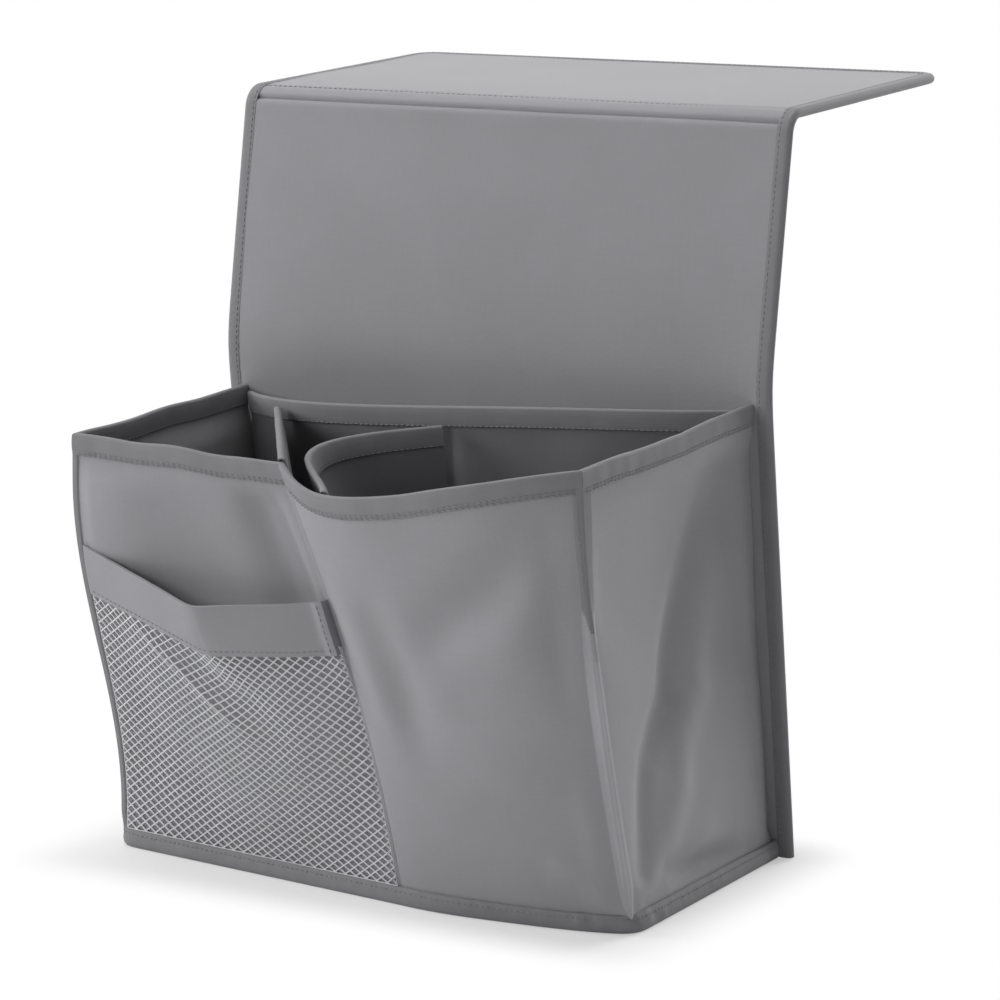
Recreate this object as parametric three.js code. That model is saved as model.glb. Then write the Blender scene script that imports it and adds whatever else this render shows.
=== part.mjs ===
// Bedside caddy: a sewn pouch with dividers and a mesh pocket on a stiffened back panel,
// whose hinged flap slides under a mattress. Millimetres, +Z up, the front faces -Y,
// and the origin is the middle of the base's underside.

import * as THREE from 'three';

const { clamp, lerp, smoothstep, degToRad } = THREE.MathUtils;

// Cloth, boards, the clearance between sewn layers and the ease of a tape over a curved wall
const GAP = 0.3;
const EASE = 0.6;
const COVER = 1.0;
const BOARD = 2.0;
const WALL = 1.6;
const TAPE = 0.8;

// Back panel
const PANEL_WIDTH = 320;
const PANEL_FOOT = 0.8;
const PANEL_TOP = 368;
const PANEL_FOOT_Y = 75.4;
const BEND_HEIGHT = 246;
const BEND_FORWARD = 33;
const BEND_SOFTNESS = 6;
const TOP_BACK = 20;
const BINDING_LIP = 8;

// Fold and flap
const FOLD_RADIUS = 11;
const FOLD_THICK = 3;
const FLAP_LENGTH = 168;
const FLAP_TILT = degToRad(2.3);
const FLAP_CORNER = 14;

// Pouch seams at the base and at the rim: how far in from the panel's side or across, how far forward
// and how high; how far the middle one bows to the right between them, and the shares of its height
// between which the left one leans out
const LEFT_FOOT_IN = 11.5;
const LEFT_FOOT_REACH = 73;
const LEFT_RIM_IN = 15.5;
const LEFT_RIM_REACH = 113;
const LEFT_RIM_HEIGHT = 219;
const MIDDLE_FOOT_X = 31;
const MIDDLE_FOOT_REACH = 92;
const MIDDLE_RIM_X = -23;
const MIDDLE_RIM_REACH = 113;
const MIDDLE_RIM_HEIGHT = 215;
const MIDDLE_BOW = 8;
const RIGHT_FOOT_IN = 9;
const RIGHT_FOOT_REACH = 78;
const RIGHT_RIM_IN = 17;
const RIGHT_RIM_REACH = 118;
const RIGHT_RIM_HEIGHT = 227;
const LEFT_REAR_RIM = 222;
const RIGHT_REAR_RIM = 236;
const LEAN_START = 0.1;
const LEAN_END = 0.9;

// Swell of the right front panel, how square its swell is, and the dip of its rim
const SWELL_FOOT = 6;
const SWELL_RIM = 27;
const SWELL_POWER = 3;
const RIM_DIP = 11;

// Rim tapes, corner strips and the band round the foot
const RIM_TAPE = 10.5;
const STRIP_ARM = 5;
const STRIP_THICK = 1.2;
const BAND_HEIGHT = 9;
const BAND_THICK = 2;

// Base
const BASE_COVER = 1.2;
const BASE_BOARD = 2.5;
const BASE_LINING = 1.0;
const BASE_INSET = 0.5;

// Rear pocket sheet: how far it stands off the panel, how squarely, and its rim
const POCKET_DEPTH_FOOT = 18;
const POCKET_DEPTH_RIM = 25;
const POCKET_POWER = 5;
const POCKET_RIM_LEFT = 219;
const POCKET_RIM_RIGHT = 233;

// Cross divider and curved divider: where they meet the front and the rear sheet, their rims and swell,
// and how many tape depths they stop short of the front, where they meet it at a slant
const CROSS_REAR_FOOT = -100;
const CROSS_REAR_RIM = -113;
const CROSS_RIM = 216;
const CURVED_START = 0.2;
const CURVED_REAR = -10;
const CURVED_RIM_FRONT = 207;
const CURVED_RIM_REAR = 216;
const CURVED_SWELL_FOOT = 12;
const CURVED_SWELL_RIM = 43;
const CURVED_SKEW = 1.2;
const SLANT_CLEAR = 2.3;

// Mesh pocket on the left front panel
const NET_THICK = 0.8;
const NET_FOOT = 10;
const NET_PITCH = 13;
const NET_STRAND = 1.6;
const HEM_THICK = 1.4;
const HEM_HEIGHT = 26;
const HEM_TOP_LEFT = 164;
const HEM_TOP_RIGHT = 151;
const HEM_SAG = 12;
const HEM_GAPE = 24;
const HEM_KINK = 0.54;

// Mesh fineness: cells along flat, plain and swelling walls, up a wall and a panel, and round an arc
const FLAT_CELLS = 4;
const WALL_CELLS = 8;
const SWELL_CELLS = 14;
const HEIGHT_CELLS = 8;
const PANEL_CELLS = 16;
const ARC_CELLS = 6;
const HEM_CELLS = 8;

// Finishes
const finish = (color, roughness) => new THREE.MeshStandardMaterial({ color, roughness, metalness: 0 });
const CLOTH_GREY = 0x87878c;
const LINING_GREY = 0x6a6a6f;
const TAPE_GREY = 0x7b7b80;
const NET_GREY = 0xb4b4b8;
const BOARD_GREY = 0x9a9a96;

// Layer offsets from a board's middle plane and from a wall's middle surface
const COVER_IN = BOARD / 2 + GAP;
const COVER_OUT = COVER_IN + COVER;
const BINDING_OUT = COVER_IN + TAPE;
const EDGE_INSET = TAPE + GAP;
const COVER_INSET = BINDING_LIP + GAP;
const WALL_SIDE = WALL / 2;
const TAPE_IN = WALL_SIDE + EASE;
const TAPE_OUT = TAPE_IN + TAPE;

const caddy = new THREE.Group();

/** Adds a closed geometry to the caddy as a named piece. */
function piece(name, geometry, color, roughness = 0.9, parent = caddy) {
  const mesh = new THREE.Mesh(geometry, finish(color, roughness));
  mesh.name = name;
  parent.add(mesh);
}

/** Moves every vertex of a geometry through a map from (x, y, z) to a point. */
function bend(geometry, map) {
  const position = geometry.attributes.position;
  for (let i = 0; i < position.count; i += 1) {
    const to = map(position.getX(i), position.getY(i), position.getZ(i));
    position.setXYZ(i, to.x, to.y, to.z);
  }
  geometry.computeVertexNormals();
  return geometry;
}

/** A closed strip of even cells: x runs 0 to 1, y runs 0 to 1, z runs from low to high. */
function slab(low, high, across, up) {
  const box = new THREE.BoxGeometry(1, 1, high - low, across, up, 1);
  return box.translate(0.5, 0.5, (low + high) / 2);
}

/** The outline of a tape folded over an edge: legs `reach` long, from `inner` to `outer` off the middle. */
function foldedTape(inner, outer, reach) {
  const lid = GAP + (outer - inner);
  return new THREE.Shape([
    new THREE.Vector2(-outer, -reach),
    new THREE.Vector2(-inner, -reach),
    new THREE.Vector2(-inner, GAP),
    new THREE.Vector2(inner, GAP),
    new THREE.Vector2(inner, -reach),
    new THREE.Vector2(outer, -reach),
    new THREE.Vector2(outer, lid),
    new THREE.Vector2(-outer, lid),
  ]);
}

/** A shape drawn out along z from 0 to 1 in even steps. */
function drawn(shape, steps) {
  return new THREE.ExtrudeGeometry(shape, { depth: 1, steps, bevelEnabled: false });
}

// Back panel: leans forward up to the pouch rim, then back to the fold

const LOWER_LEAN = BEND_FORWARD / BEND_HEIGHT;
const UPPER_LEAN = TOP_BACK / (PANEL_TOP - BEND_HEIGHT);

/** The y of the panel's middle plane at height z. */
function panelY(z) {
  const past = BEND_SOFTNESS * Math.log(1 + Math.exp((z - BEND_HEIGHT) / BEND_SOFTNESS));
  return PANEL_FOOT_Y - LOWER_LEAN * z + (LOWER_LEAN + UPPER_LEAN) * past;
}

/** The slope dy/dz of the panel's middle plane at height z. */
function panelSlope(z) {
  return -LOWER_LEAN + (LOWER_LEAN + UPPER_LEAN) / (1 + Math.exp((BEND_HEIGHT - z) / BEND_SOFTNESS));
}

/** A point of the panel: x across, `out` off the middle plane towards the rear, at height z. */
function panelPoint(x, out, z) {
  const slope = panelSlope(z);
  const long = Math.hypot(1, slope);
  return new THREE.Vector3(x, panelY(z) + out / long, z - (out * slope) / long);
}

/** The y that the pouch is sewn to at height z: just before the front face of the straight lower panel. */
const panelFront = (z) => PANEL_FOOT_Y - LOWER_LEAN * z - COVER_OUT * Math.hypot(1, LOWER_LEAN) - GAP;

const panelHeight = (share) => lerp(PANEL_FOOT, PANEL_TOP, share);

/** A full-height layer of the panel between two offsets, `inset` from its side edges. */
function panelLayer(low, high, inset) {
  const half = PANEL_WIDTH / 2 - inset;
  return bend(slab(low, high, FLAT_CELLS, PANEL_CELLS), (x, y, z) => (
    panelPoint(lerp(half, -half, x), z, panelHeight(y))
  ));
}

/** The tape round one side edge of the panel, on side -1 or 1. */
function panelBinding(side) {
  const edge = PANEL_WIDTH / 2 - EDGE_INSET;
  const shape = foldedTape(COVER_IN, BINDING_OUT, BINDING_LIP - EDGE_INSET);
  return bend(drawn(shape, PANEL_CELLS), (x, y, z) => (
    panelPoint(side * (edge + y), -side * x, panelHeight(z))
  ));
}

piece('back_front_cover', panelLayer(-COVER_OUT, -COVER_IN, COVER_INSET), CLOTH_GREY);
piece('back_board', panelLayer(-BOARD / 2, BOARD / 2, EDGE_INSET + GAP), BOARD_GREY, 0.6);
piece('back_rear_cover', panelLayer(COVER_IN, COVER_OUT, COVER_INSET), CLOTH_GREY);
piece('back_binding_left', panelBinding(-1), TAPE_GREY);
piece('back_binding_right', panelBinding(1), TAPE_GREY);

// Fold: an arc of doubled cloth from the top of the panel to the start of the flap

const FOLD_START = Math.atan2(1, panelSlope(PANEL_TOP));
const foldTop = panelPoint(0, 0, PANEL_TOP);
const foldCentre = new THREE.Vector2(
  foldTop.y + FOLD_RADIUS * Math.sin(FOLD_START),
  foldTop.z - FOLD_RADIUS * Math.cos(FOLD_START),
);

/** A point of the fold: x across, `out` off its middle on the inner side, at a heading of the arc. */
function foldPoint(x, out, heading) {
  const radius = FOLD_RADIUS - out;
  return new THREE.Vector3(
    x,
    foldCentre.x - radius * Math.sin(heading),
    foldCentre.y + radius * Math.cos(heading),
  );
}

const FOLD_END_GAP = GAP / FOLD_RADIUS;
const foldStrip = bend(slab(-FOLD_THICK / 2, FOLD_THICK / 2, FLAT_CELLS, ARC_CELLS), (x, y, z) => (
  foldPoint(
    lerp(PANEL_WIDTH / 2, -PANEL_WIDTH / 2, x),
    z,
    lerp(FOLD_START - FOLD_END_GAP, FLAP_TILT + FOLD_END_GAP, y),
  )
));
piece('hinge_strip', foldStrip, CLOTH_GREY);

// Flap: covers and a board inside one tape that runs round its three free edges

const flap = new THREE.Group();
flap.position.copy(foldPoint(0, 0, FLAP_TILT));
flap.rotation.x = FLAP_TILT;
caddy.add(flap);

/** The flap's outline, `inset` from its edge, as a path from its left hinge end round to the right. */
function flapPath(inset) {
  const half = PANEL_WIDTH / 2 - inset;
  const rear = FLAP_LENGTH - inset;
  const corner = FLAP_CORNER - inset;
  const path = new THREE.Path();
  path.moveTo(-half, 0);
  path.lineTo(-half, rear - corner);
  path.absarc(-half + corner, rear - corner, corner, Math.PI, Math.PI / 2, true);
  path.lineTo(half - corner, rear);
  path.absarc(half - corner, rear - corner, corner, Math.PI / 2, 0, true);
  path.lineTo(half, 0);
  return path;
}

/** A layer of the flap between two heights off its middle plane, `inset` from its edge. */
function flapLayer(low, high, inset) {
  const shape = new THREE.Shape(flapPath(inset).getPoints(ARC_CELLS));
  const depth = high - low;
  return new THREE.ExtrudeGeometry(shape, { depth, bevelEnabled: false }).translate(0, 0, low);
}

/** The outward direction of a path at station i, longer at a corner so that an offset keeps its width. */
function pathMitre(points, i) {
  const before = points[Math.max(i - 1, 0)];
  const after = points[Math.min(i + 1, points.length - 1)];
  const arriving = points[i].clone().sub(before).normalize();
  const leaving = after.clone().sub(points[i]).normalize();
  const first = i > 0 ? arriving : leaving;
  const second = i < points.length - 1 ? leaving : arriving;
  const mitre = new THREE.Vector2(-first.y - second.y, first.x + second.x);
  return mitre.divideScalar(1 + first.dot(second));
}

/** The tape round the flap: the folded section carried along its outline. */
function flapBinding() {
  const points = flapPath(EDGE_INSET).getPoints(ARC_CELLS);
  const shape = foldedTape(COVER_IN, BINDING_OUT, BINDING_LIP - EDGE_INSET);
  const steps = points.length - 1;
  return bend(drawn(shape, steps), (x, y, z) => {
    const i = Math.round(z * steps);
    const out = pathMitre(points, i).multiplyScalar(y);
    return new THREE.Vector3(points[i].x + out.x, points[i].y + out.y, -x);
  });
}

piece('flap_upper_cover', flapLayer(COVER_IN, COVER_OUT, COVER_INSET), CLOTH_GREY, 0.9, flap);
piece('flap_board', flapLayer(-BOARD / 2, BOARD / 2, EDGE_INSET + GAP), BOARD_GREY, 0.6, flap);
piece('flap_lower_cover', flapLayer(-COVER_OUT, -COVER_IN, COVER_INSET), CLOTH_GREY, 0.9, flap);
piece('flap_binding', flapBinding(), TAPE_GREY, 0.9, flap);

// Pouch walls: each is a surface (u, v), u from its first seam to its second, v from foot to rim

const GUSSET_X = PANEL_WIDTH / 2 - COVER_INSET - TAPE_OUT;
const LEFT_FOOT_X = LEFT_FOOT_IN - PANEL_WIDTH / 2;
const LEFT_RIM_X = LEFT_RIM_IN - PANEL_WIDTH / 2;
const RIGHT_FOOT_X = PANEL_WIDTH / 2 - RIGHT_FOOT_IN;
const RIGHT_RIM_X = PANEL_WIDTH / 2 - RIGHT_RIM_IN;

/** A line in v made straight between the height stations that all the walls share. */
function faceted(line) {
  return (v) => {
    const station = clamp(Math.floor(v * HEIGHT_CELLS), 0, HEIGHT_CELLS - 1);
    const above = line((station + 1) / HEIGHT_CELLS);
    return line(station / HEIGHT_CELLS).lerp(above, v * HEIGHT_CELLS - station);
  };
}

/** The left front seam: upright at the foot and at the rim, leaning out between them. */
const leftSeam = faceted((v) => new THREE.Vector3(
  lerp(LEFT_FOOT_X, LEFT_RIM_X, v),
  -lerp(LEFT_FOOT_REACH, LEFT_RIM_REACH, smoothstep(v, LEAN_START, LEAN_END)),
  LEFT_RIM_HEIGHT * v,
));

/** The front middle seam, slanting to the left as it rises and bowed to the right. */
const middleSeam = faceted((v) => new THREE.Vector3(
  lerp(MIDDLE_FOOT_X, MIDDLE_RIM_X, v) + MIDDLE_BOW * Math.sin(Math.PI * v),
  -lerp(MIDDLE_FOOT_REACH, MIDDLE_RIM_REACH, v),
  MIDDLE_RIM_HEIGHT * v,
));

/** The right front seam: leaning out from the foot and upright at the rim. */
const rightSeam = faceted((v) => new THREE.Vector3(
  lerp(RIGHT_FOOT_X, RIGHT_RIM_X, v),
  -lerp(RIGHT_FOOT_REACH, RIGHT_RIM_REACH, Math.sin((Math.PI / 2) * v)),
  RIGHT_RIM_HEIGHT * v,
));

/** The seam of a gusset on the back panel, on side -1 or 1. */
function rearSeam(side, v) {
  const z = (side < 0 ? LEFT_REAR_RIM : RIGHT_REAR_RIM) * v;
  return new THREE.Vector3(side * GUSSET_X, panelFront(z), z);
}

const leftGusset = (u, v) => rearSeam(-1, v).lerp(leftSeam(v), u);
const frontLeft = (u, v) => leftSeam(v).lerp(middleSeam(v), u);
const rightGusset = (u, v) => rightSeam(v).lerp(rearSeam(1, v), u);

/** The share of the rim's dip at u: all of it a third of the way along, and none at the seams. */
const dipShare = (u) => (27 / 4) * u * (1 - u) ** 2;

/** The right front panel swells forward between its seams, and its rim dips. */
function frontRight(u, v) {
  const point = middleSeam(v).lerp(rightSeam(v), u);
  point.y -= lerp(SWELL_FOOT, SWELL_RIM, v) * (1 - Math.abs(2 * u - 1) ** SWELL_POWER);
  point.z -= RIM_DIP * v * dipShare(u);
  return point;
}

/** The level unit direction out of a wall, on the right hand of its run from u = 0 to u = 1. */
function wallOut(surface, u, v) {
  const step = 1e-3;
  const along = surface(Math.min(u + step, 1), v).sub(surface(Math.max(u - step, 0), v));
  return new THREE.Vector3(along.y, -along.x, 0).normalize();
}

/** A point off a wall's middle surface. */
const offWall = (surface, u, v, out) => surface(u, v).addScaledVector(wallOut(surface, u, v), out);

/** How far apart a wall's two ends are at v, in plan. */
function wallLength(surface, v) {
  const run = surface(1, v).sub(surface(0, v));
  return Math.hypot(run.x, run.y);
}

/** The u at a share of a wall's run, with `first` and `last` left free at its ends. */
function wallShare(surface, v, share, first, last) {
  const length = wallLength(surface, v);
  return clamp(share, first / length, 1 - last / length);
}

/** The v of a height z at u. */
const wallV = (surface, u, z) => z / surface(u, 1).z;

const SEAM_INSET = WALL_SIDE + GAP / 2;
const VALLEY_INSET = WALL_SIDE - GAP / 2;
const TAPE_INSET = TAPE_OUT + GAP / 2;
const WALL_FOOT = BASE_COVER + GAP;

/** A wall as a closed sheet, standing `foot` above the floor, with `first` and `last` free at its ends. */
function wallSheet(surface, first, last, cells, foot = WALL_FOOT) {
  return bend(slab(-WALL_SIDE, WALL_SIDE, cells, HEIGHT_CELLS), (x, y, z) => {
    const v = Math.max(y, wallV(surface, x, foot));
    return offWall(surface, wallShare(surface, v, x, first, last), v, z);
  });
}

/** The tape folded over a wall's rim. */
function rimTape(surface, first, last, cells) {
  const shape = foldedTape(TAPE_IN, TAPE_OUT, RIM_TAPE);
  return bend(drawn(shape, cells), (x, y, z) => {
    const u = wallShare(surface, 1, 1 - z, first, last);
    return offWall(surface, u, 1 + wallV(surface, u, y), x);
  });
}

piece('left_gusset', wallSheet(leftGusset, 0, SEAM_INSET, WALL_CELLS), CLOTH_GREY);
piece('front_left_panel', wallSheet(frontLeft, SEAM_INSET, VALLEY_INSET, WALL_CELLS), CLOTH_GREY);
piece('front_right_panel', wallSheet(frontRight, VALLEY_INSET, SEAM_INSET, SWELL_CELLS), CLOTH_GREY);
piece('right_gusset', wallSheet(rightGusset, SEAM_INSET, 0, WALL_CELLS), CLOTH_GREY);
piece('left_gusset_rim', rimTape(leftGusset, 0, TAPE_INSET, WALL_CELLS), TAPE_GREY);
piece('front_left_rim', rimTape(frontLeft, TAPE_INSET, TAPE_INSET, WALL_CELLS), TAPE_GREY);
piece('front_right_rim', rimTape(frontRight, TAPE_INSET, TAPE_INSET, SWELL_CELLS), TAPE_GREY);
piece('right_gusset_rim', rimTape(rightGusset, TAPE_INSET, 0, WALL_CELLS), TAPE_GREY);

// Strips over the upright seams, and the band round the foot

/** The offset direction where one wall ends on the next, lengthened so that a strip keeps its width. */
function seamMitre(before, after, v) {
  const first = wallOut(before, 1, v);
  const second = wallOut(after, 0, v);
  return first.clone().add(second).divideScalar(1 + first.dot(second));
}

const STRIP_IN = WALL_SIDE + EASE;
const STRIP_FOOT = BAND_HEIGHT + GAP;

/** A strip bent over the seam between two walls, from the band up to the rim tapes. */
function seamStrip(before, after) {
  const strip = slab(STRIP_IN, STRIP_IN + STRIP_THICK, 2, HEIGHT_CELLS);
  return bend(strip, (x, y, z) => {
    const height = after(0, 1).z;
    const v = clamp(y, STRIP_FOOT / height, 1 - (RIM_TAPE + GAP) / height);
    if (x < 0.25) return offWall(before, 1 - STRIP_ARM / wallLength(before, v), v, z);
    if (x > 0.75) return offWall(after, STRIP_ARM / wallLength(after, v), v, z);
    return after(0, v).addScaledVector(seamMitre(before, after, v), z);
  });
}

piece('corner_strip_left', seamStrip(leftGusset, frontLeft), TAPE_GREY);
piece('front_seam_strip', seamStrip(frontLeft, frontRight), TAPE_GREY);
piece('corner_strip_right', seamStrip(frontRight, rightGusset), TAPE_GREY);

const POUCH_RUN = [
  { surface: leftGusset, cells: FLAT_CELLS },
  { surface: frontLeft, cells: WALL_CELLS },
  { surface: frontRight, cells: SWELL_CELLS },
  { surface: rightGusset, cells: FLAT_CELLS },
];

/** The stations round the pouch, `clear` of the back panel: each gives a point off a wall at height z. */
function pouchStations(clear) {
  const stations = [];
  POUCH_RUN.forEach(({ surface, cells }, k) => {
    const next = POUCH_RUN[k + 1];
    const inset = clear / wallLength(surface, 0);
    const from = k === 0 ? inset : 0;
    const to = next ? 1 : 1 - inset;
    for (let i = k === 0 ? 0 : 1; i <= cells; i += 1) {
      const u = lerp(from, to, i / cells);
      const onSeam = i === cells && next;
      stations.push((z, out) => {
        const v = wallV(surface, u, z);
        if (!onSeam) return offWall(surface, u, v, out);
        return surface(1, v).addScaledVector(seamMitre(surface, next.surface, v), out);
      });
    }
  });
  return stations;
}

/** The band round the foot of the pouch. */
function footBand() {
  const stations = pouchStations(GAP);
  const last = stations.length - 1;
  const band = slab(STRIP_IN, STRIP_IN + BAND_THICK, last, 2);
  return bend(band, (x, y, z) => stations[Math.round(x * last)](y * BAND_HEIGHT, z));
}

/** A level layer of the base between two heights, `out` off the walls and up to the back panel. */
function baseLayer(low, high, out) {
  const rear = panelFront(high);
  const outline = pouchStations(0).map((at) => at(0, out));
  const shape = new THREE.Shape(outline.map(({ x, y }) => new THREE.Vector2(x, Math.min(y, rear))));
  return new THREE.ExtrudeGeometry(shape, { depth: high - low, bevelEnabled: false }).translate(0, 0, low);
}

const BOARD_FOOT = BASE_COVER + GAP;
const BOARD_TOP = BOARD_FOOT + BASE_BOARD;
const LINING_FOOT = BOARD_TOP + GAP;
const LINING_TOP = LINING_FOOT + BASE_LINING;
const BASE_INSIDE = -WALL_SIDE - BASE_INSET;

piece('base_band', footBand(), TAPE_GREY);
piece('base_cover', baseLayer(0, BASE_COVER, WALL_SIDE), CLOTH_GREY);
piece('base_board', baseLayer(BOARD_FOOT, BOARD_TOP, BASE_INSIDE), BOARD_GREY, 0.6);
piece('base_lining', baseLayer(LINING_FOOT, LINING_TOP, BASE_INSIDE), LINING_GREY);

// Inside sheets: the rear pocket sheet and the two dividers, standing on the lining

const INNER_FOOT = LINING_TOP + GAP;
const POCKET_SIDE = GUSSET_X - 2 * TAPE_OUT - GAP;
const POCKET_EDGE = TAPE_OUT + GAP;

/** The rear pocket sheet: sewn in beside the gussets and standing off the panel between them. */
function pocketSheet(u, v) {
  const z = lerp(POCKET_RIM_LEFT, POCKET_RIM_RIGHT, smoothstep(u, 0, 1)) * v;
  const depth = lerp(POCKET_DEPTH_FOOT, POCKET_DEPTH_RIM, v);
  const away = lerp(depth, POCKET_EDGE, Math.abs(2 * u - 1) ** POCKET_POWER);
  return new THREE.Vector3(lerp(-POCKET_SIDE, POCKET_SIDE, u), panelFront(z) - away, z);
}

/** The place on the pocket sheet at x, `clear` in front of it. */
function beforePocket(x, v, clear) {
  return offWall(pocketSheet, (x + POCKET_SIDE) / (2 * POCKET_SIDE), v, clear);
}

// A divider stops this far from the wall before it and the sheet behind it, clear of their rim tapes
const DIVIDER_FRONT = SLANT_CLEAR * TAPE_OUT;
const DIVIDER_REAR = 2 * TAPE_OUT + GAP;

/** The cross divider: straight from the front middle seam to the rear sheet. */
function crossDivider(u, v) {
  const front = middleSeam(v);
  const rear = beforePocket(lerp(CROSS_REAR_FOOT, CROSS_REAR_RIM, v), v, DIVIDER_REAR);
  const along = rear.clone().sub(front).setZ(0).normalize();
  front.addScaledVector(along, DIVIDER_FRONT);
  return front.lerp(rear, u).setZ(CROSS_RIM * v);
}

/** The curved divider: from the right front panel to the rear sheet, swelling to the left. */
function curvedDivider(u, v) {
  const front = offWall(frontRight, CURVED_START, v, -DIVIDER_FRONT);
  const rear = beforePocket(CURVED_REAR, v, DIVIDER_REAR);
  const swell = lerp(CURVED_SWELL_FOOT, CURVED_SWELL_RIM, v) * Math.sin(Math.PI * u ** CURVED_SKEW);
  const point = front.lerp(rear, u);
  point.x -= swell;
  return point.setZ(lerp(CURVED_RIM_FRONT, CURVED_RIM_REAR, u) * v);
}

piece('rear_pocket_sheet', wallSheet(pocketSheet, 0, 0, SWELL_CELLS, INNER_FOOT), LINING_GREY);
piece('rear_pocket_rim', rimTape(pocketSheet, 0, 0, SWELL_CELLS), TAPE_GREY);
piece('cross_divider', wallSheet(crossDivider, 0, 0, WALL_CELLS, INNER_FOOT), LINING_GREY);
piece('cross_divider_rim', rimTape(crossDivider, 0, 0, WALL_CELLS), TAPE_GREY);
piece('curved_divider', wallSheet(curvedDivider, 0, 0, SWELL_CELLS, INNER_FOOT), LINING_GREY);
piece('curved_divider_rim', rimTape(curvedDivider, 0, 0, SWELL_CELLS), TAPE_GREY);

// Mesh pocket: a hem band and a net in two flat fields that meet at the kink where the mouth gapes

const NET_OUT = WALL_SIDE + EASE + GAP;
const NET_SIDE = STRIP_ARM + GAP;

/** How far open the mouth is at a share of its width: none at the seams, all at the kink. */
const gapeShare = (u) => (u < HEM_KINK ? u / HEM_KINK : (1 - u) / (1 - HEM_KINK));

/** The height of the hem's top edge at a share of its width. */
const hemTop = (u) => lerp(HEM_TOP_LEFT, HEM_TOP_RIGHT, u) - HEM_SAG * gapeShare(u);

/** A point of the pocket: u across, at height z, `out` off the face that lies on the panel. */
function pocketPoint(u, z, out) {
  const v = wallV(frontLeft, u, z);
  const inset = NET_SIDE / wallLength(frontLeft, v);
  const share = lerp(inset, 1 - inset, u);
  const rise = (z - NET_FOOT) / (hemTop(u) - NET_FOOT);
  return offWall(frontLeft, share, v, NET_OUT + HEM_GAPE * gapeShare(u) * rise + out);
}

/** The hem band along the pocket's mouth, with its kink at a station of its own. */
function hemBand() {
  return bend(slab(0, HEM_THICK, HEM_CELLS, FLAT_CELLS), (x, y, z) => {
    const u = x < 0.5 ? 2 * x * HEM_KINK : lerp(HEM_KINK, 1, 2 * x - 1);
    return pocketPoint(u, hemTop(u) - HEM_HEIGHT * (1 - y), z);
  });
}

/**
 * One cell of a net's flat pattern, as the corners of the cloth in it: a strand from corner to corner,
 * leaning right and left by turns. `cut` is the share of a side that the strand takes, and the corners
 * beside it are filled along the net's border.
 */
function netCell(i, j, columns, rows, cut) {
  const left = i === 0;
  const right = i === columns - 1;
  const foot = j === 0;
  const top = j === rows - 1;
  if ((i + j) % 2 === 0) {
    const low = foot || right ? [[i + 1, j]] : [[i + cut, j], [i + 1, j + 1 - cut]];
    const high = left || top ? [[i, j + 1]] : [[i + 1 - cut, j + 1], [i, j + cut]];
    return [[i, j], ...low, [i + 1, j + 1], ...high];
  }
  const high = right || top ? [[i + 1, j + 1]] : [[i + 1, j + cut], [i + cut, j + 1]];
  const low = left || foot ? [[i, j]] : [[i, j + 1 - cut], [i + 1 - cut, j]];
  return [[i + 1, j], ...high, [i, j + 1], ...low];
}

/** A closed plate of flat cells that share corners: `place` maps a corner and an offset to a point. */
function plate(cells, thick, place) {
  const numbers = new Map();
  const corners = [];
  const numberOf = (corner) => {
    const key = corner.map((value) => value.toFixed(4)).join();
    if (!numbers.has(key)) {
      numbers.set(key, corners.length);
      corners.push(corner);
    }
    return numbers.get(key);
  };
  const rings = cells.map((cell) => cell.map(numberOf));
  const sides = new Map();
  rings.forEach((ring) => ring.forEach((from, k) => {
    const to = ring[(k + 1) % ring.length];
    sides.set(`${from},${to}`, [from, to]);
  }));
  const faces = [];
  const under = corners.length;
  rings.forEach((ring) => {
    for (let k = 2; k < ring.length; k += 1) {
      faces.push(ring[0], ring[k - 1], ring[k]);
      faces.push(under + ring[0], under + ring[k], under + ring[k - 1]);
    }
  });
  sides.forEach(([from, to]) => {
    if (sides.has(`${to},${from}`)) return;
    faces.push(from, under + from, under + to);
    faces.push(from, under + to, to);
  });
  const points = [thick, 0].flatMap((out) => corners.map(([x, y]) => place(x, y, out)));
  const geometry = new THREE.BufferGeometry().setFromPoints(points);
  geometry.setIndex(faces);
  geometry.computeVertexNormals();
  return geometry;
}

/** One field of the net between two shares of the pocket's width. */
function netField(from, to) {
  const width = (to - from) * (wallLength(frontLeft, 0) - 2 * NET_SIDE);
  const height = hemTop((from + to) / 2) - HEM_HEIGHT - NET_FOOT;
  const columns = Math.round((2 * width) / NET_PITCH);
  const rows = Math.round((2 * height) / NET_PITCH);
  const cut = (Math.SQRT2 * NET_STRAND) / NET_PITCH;
  const cells = [];
  for (let i = 0; i < columns; i += 1) {
    for (let j = 0; j < rows; j += 1) cells.push(netCell(i, j, columns, rows, cut));
  }
  const edge = GAP / (2 * width);
  return plate(cells, NET_THICK, (x, y, out) => {
    const u = lerp(from, to, lerp(edge, 1 - edge, x / columns));
    const top = hemTop(u) - HEM_HEIGHT - GAP;
    return pocketPoint(u, lerp(NET_FOOT, top, y / rows), out);
  });
}

piece('mesh_pocket_hem', hemBand(), CLOTH_GREY);
piece('mesh_net_left', netField(0, HEM_KINK), NET_GREY);
piece('mesh_net_right', netField(HEM_KINK, 1), NET_GREY);

export default caddy;
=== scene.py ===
"""Dresses the bedside caddy: sewn grey cloth over boards, a divided pouch and a net pocket.

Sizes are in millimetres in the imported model's own frame: +X to the right as seen from the front,
the front faces -Y and +Z is up. Meshes are handed over in metres.
"""

import logging
import math
from bisect import bisect_right
from dataclasses import dataclass, field
from enum import Enum
from functools import cached_property
from typing import Callable, Optional, Sequence, Union

import bmesh
import bpy
from mathutils import Euler, Matrix, Vector, noise

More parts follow.
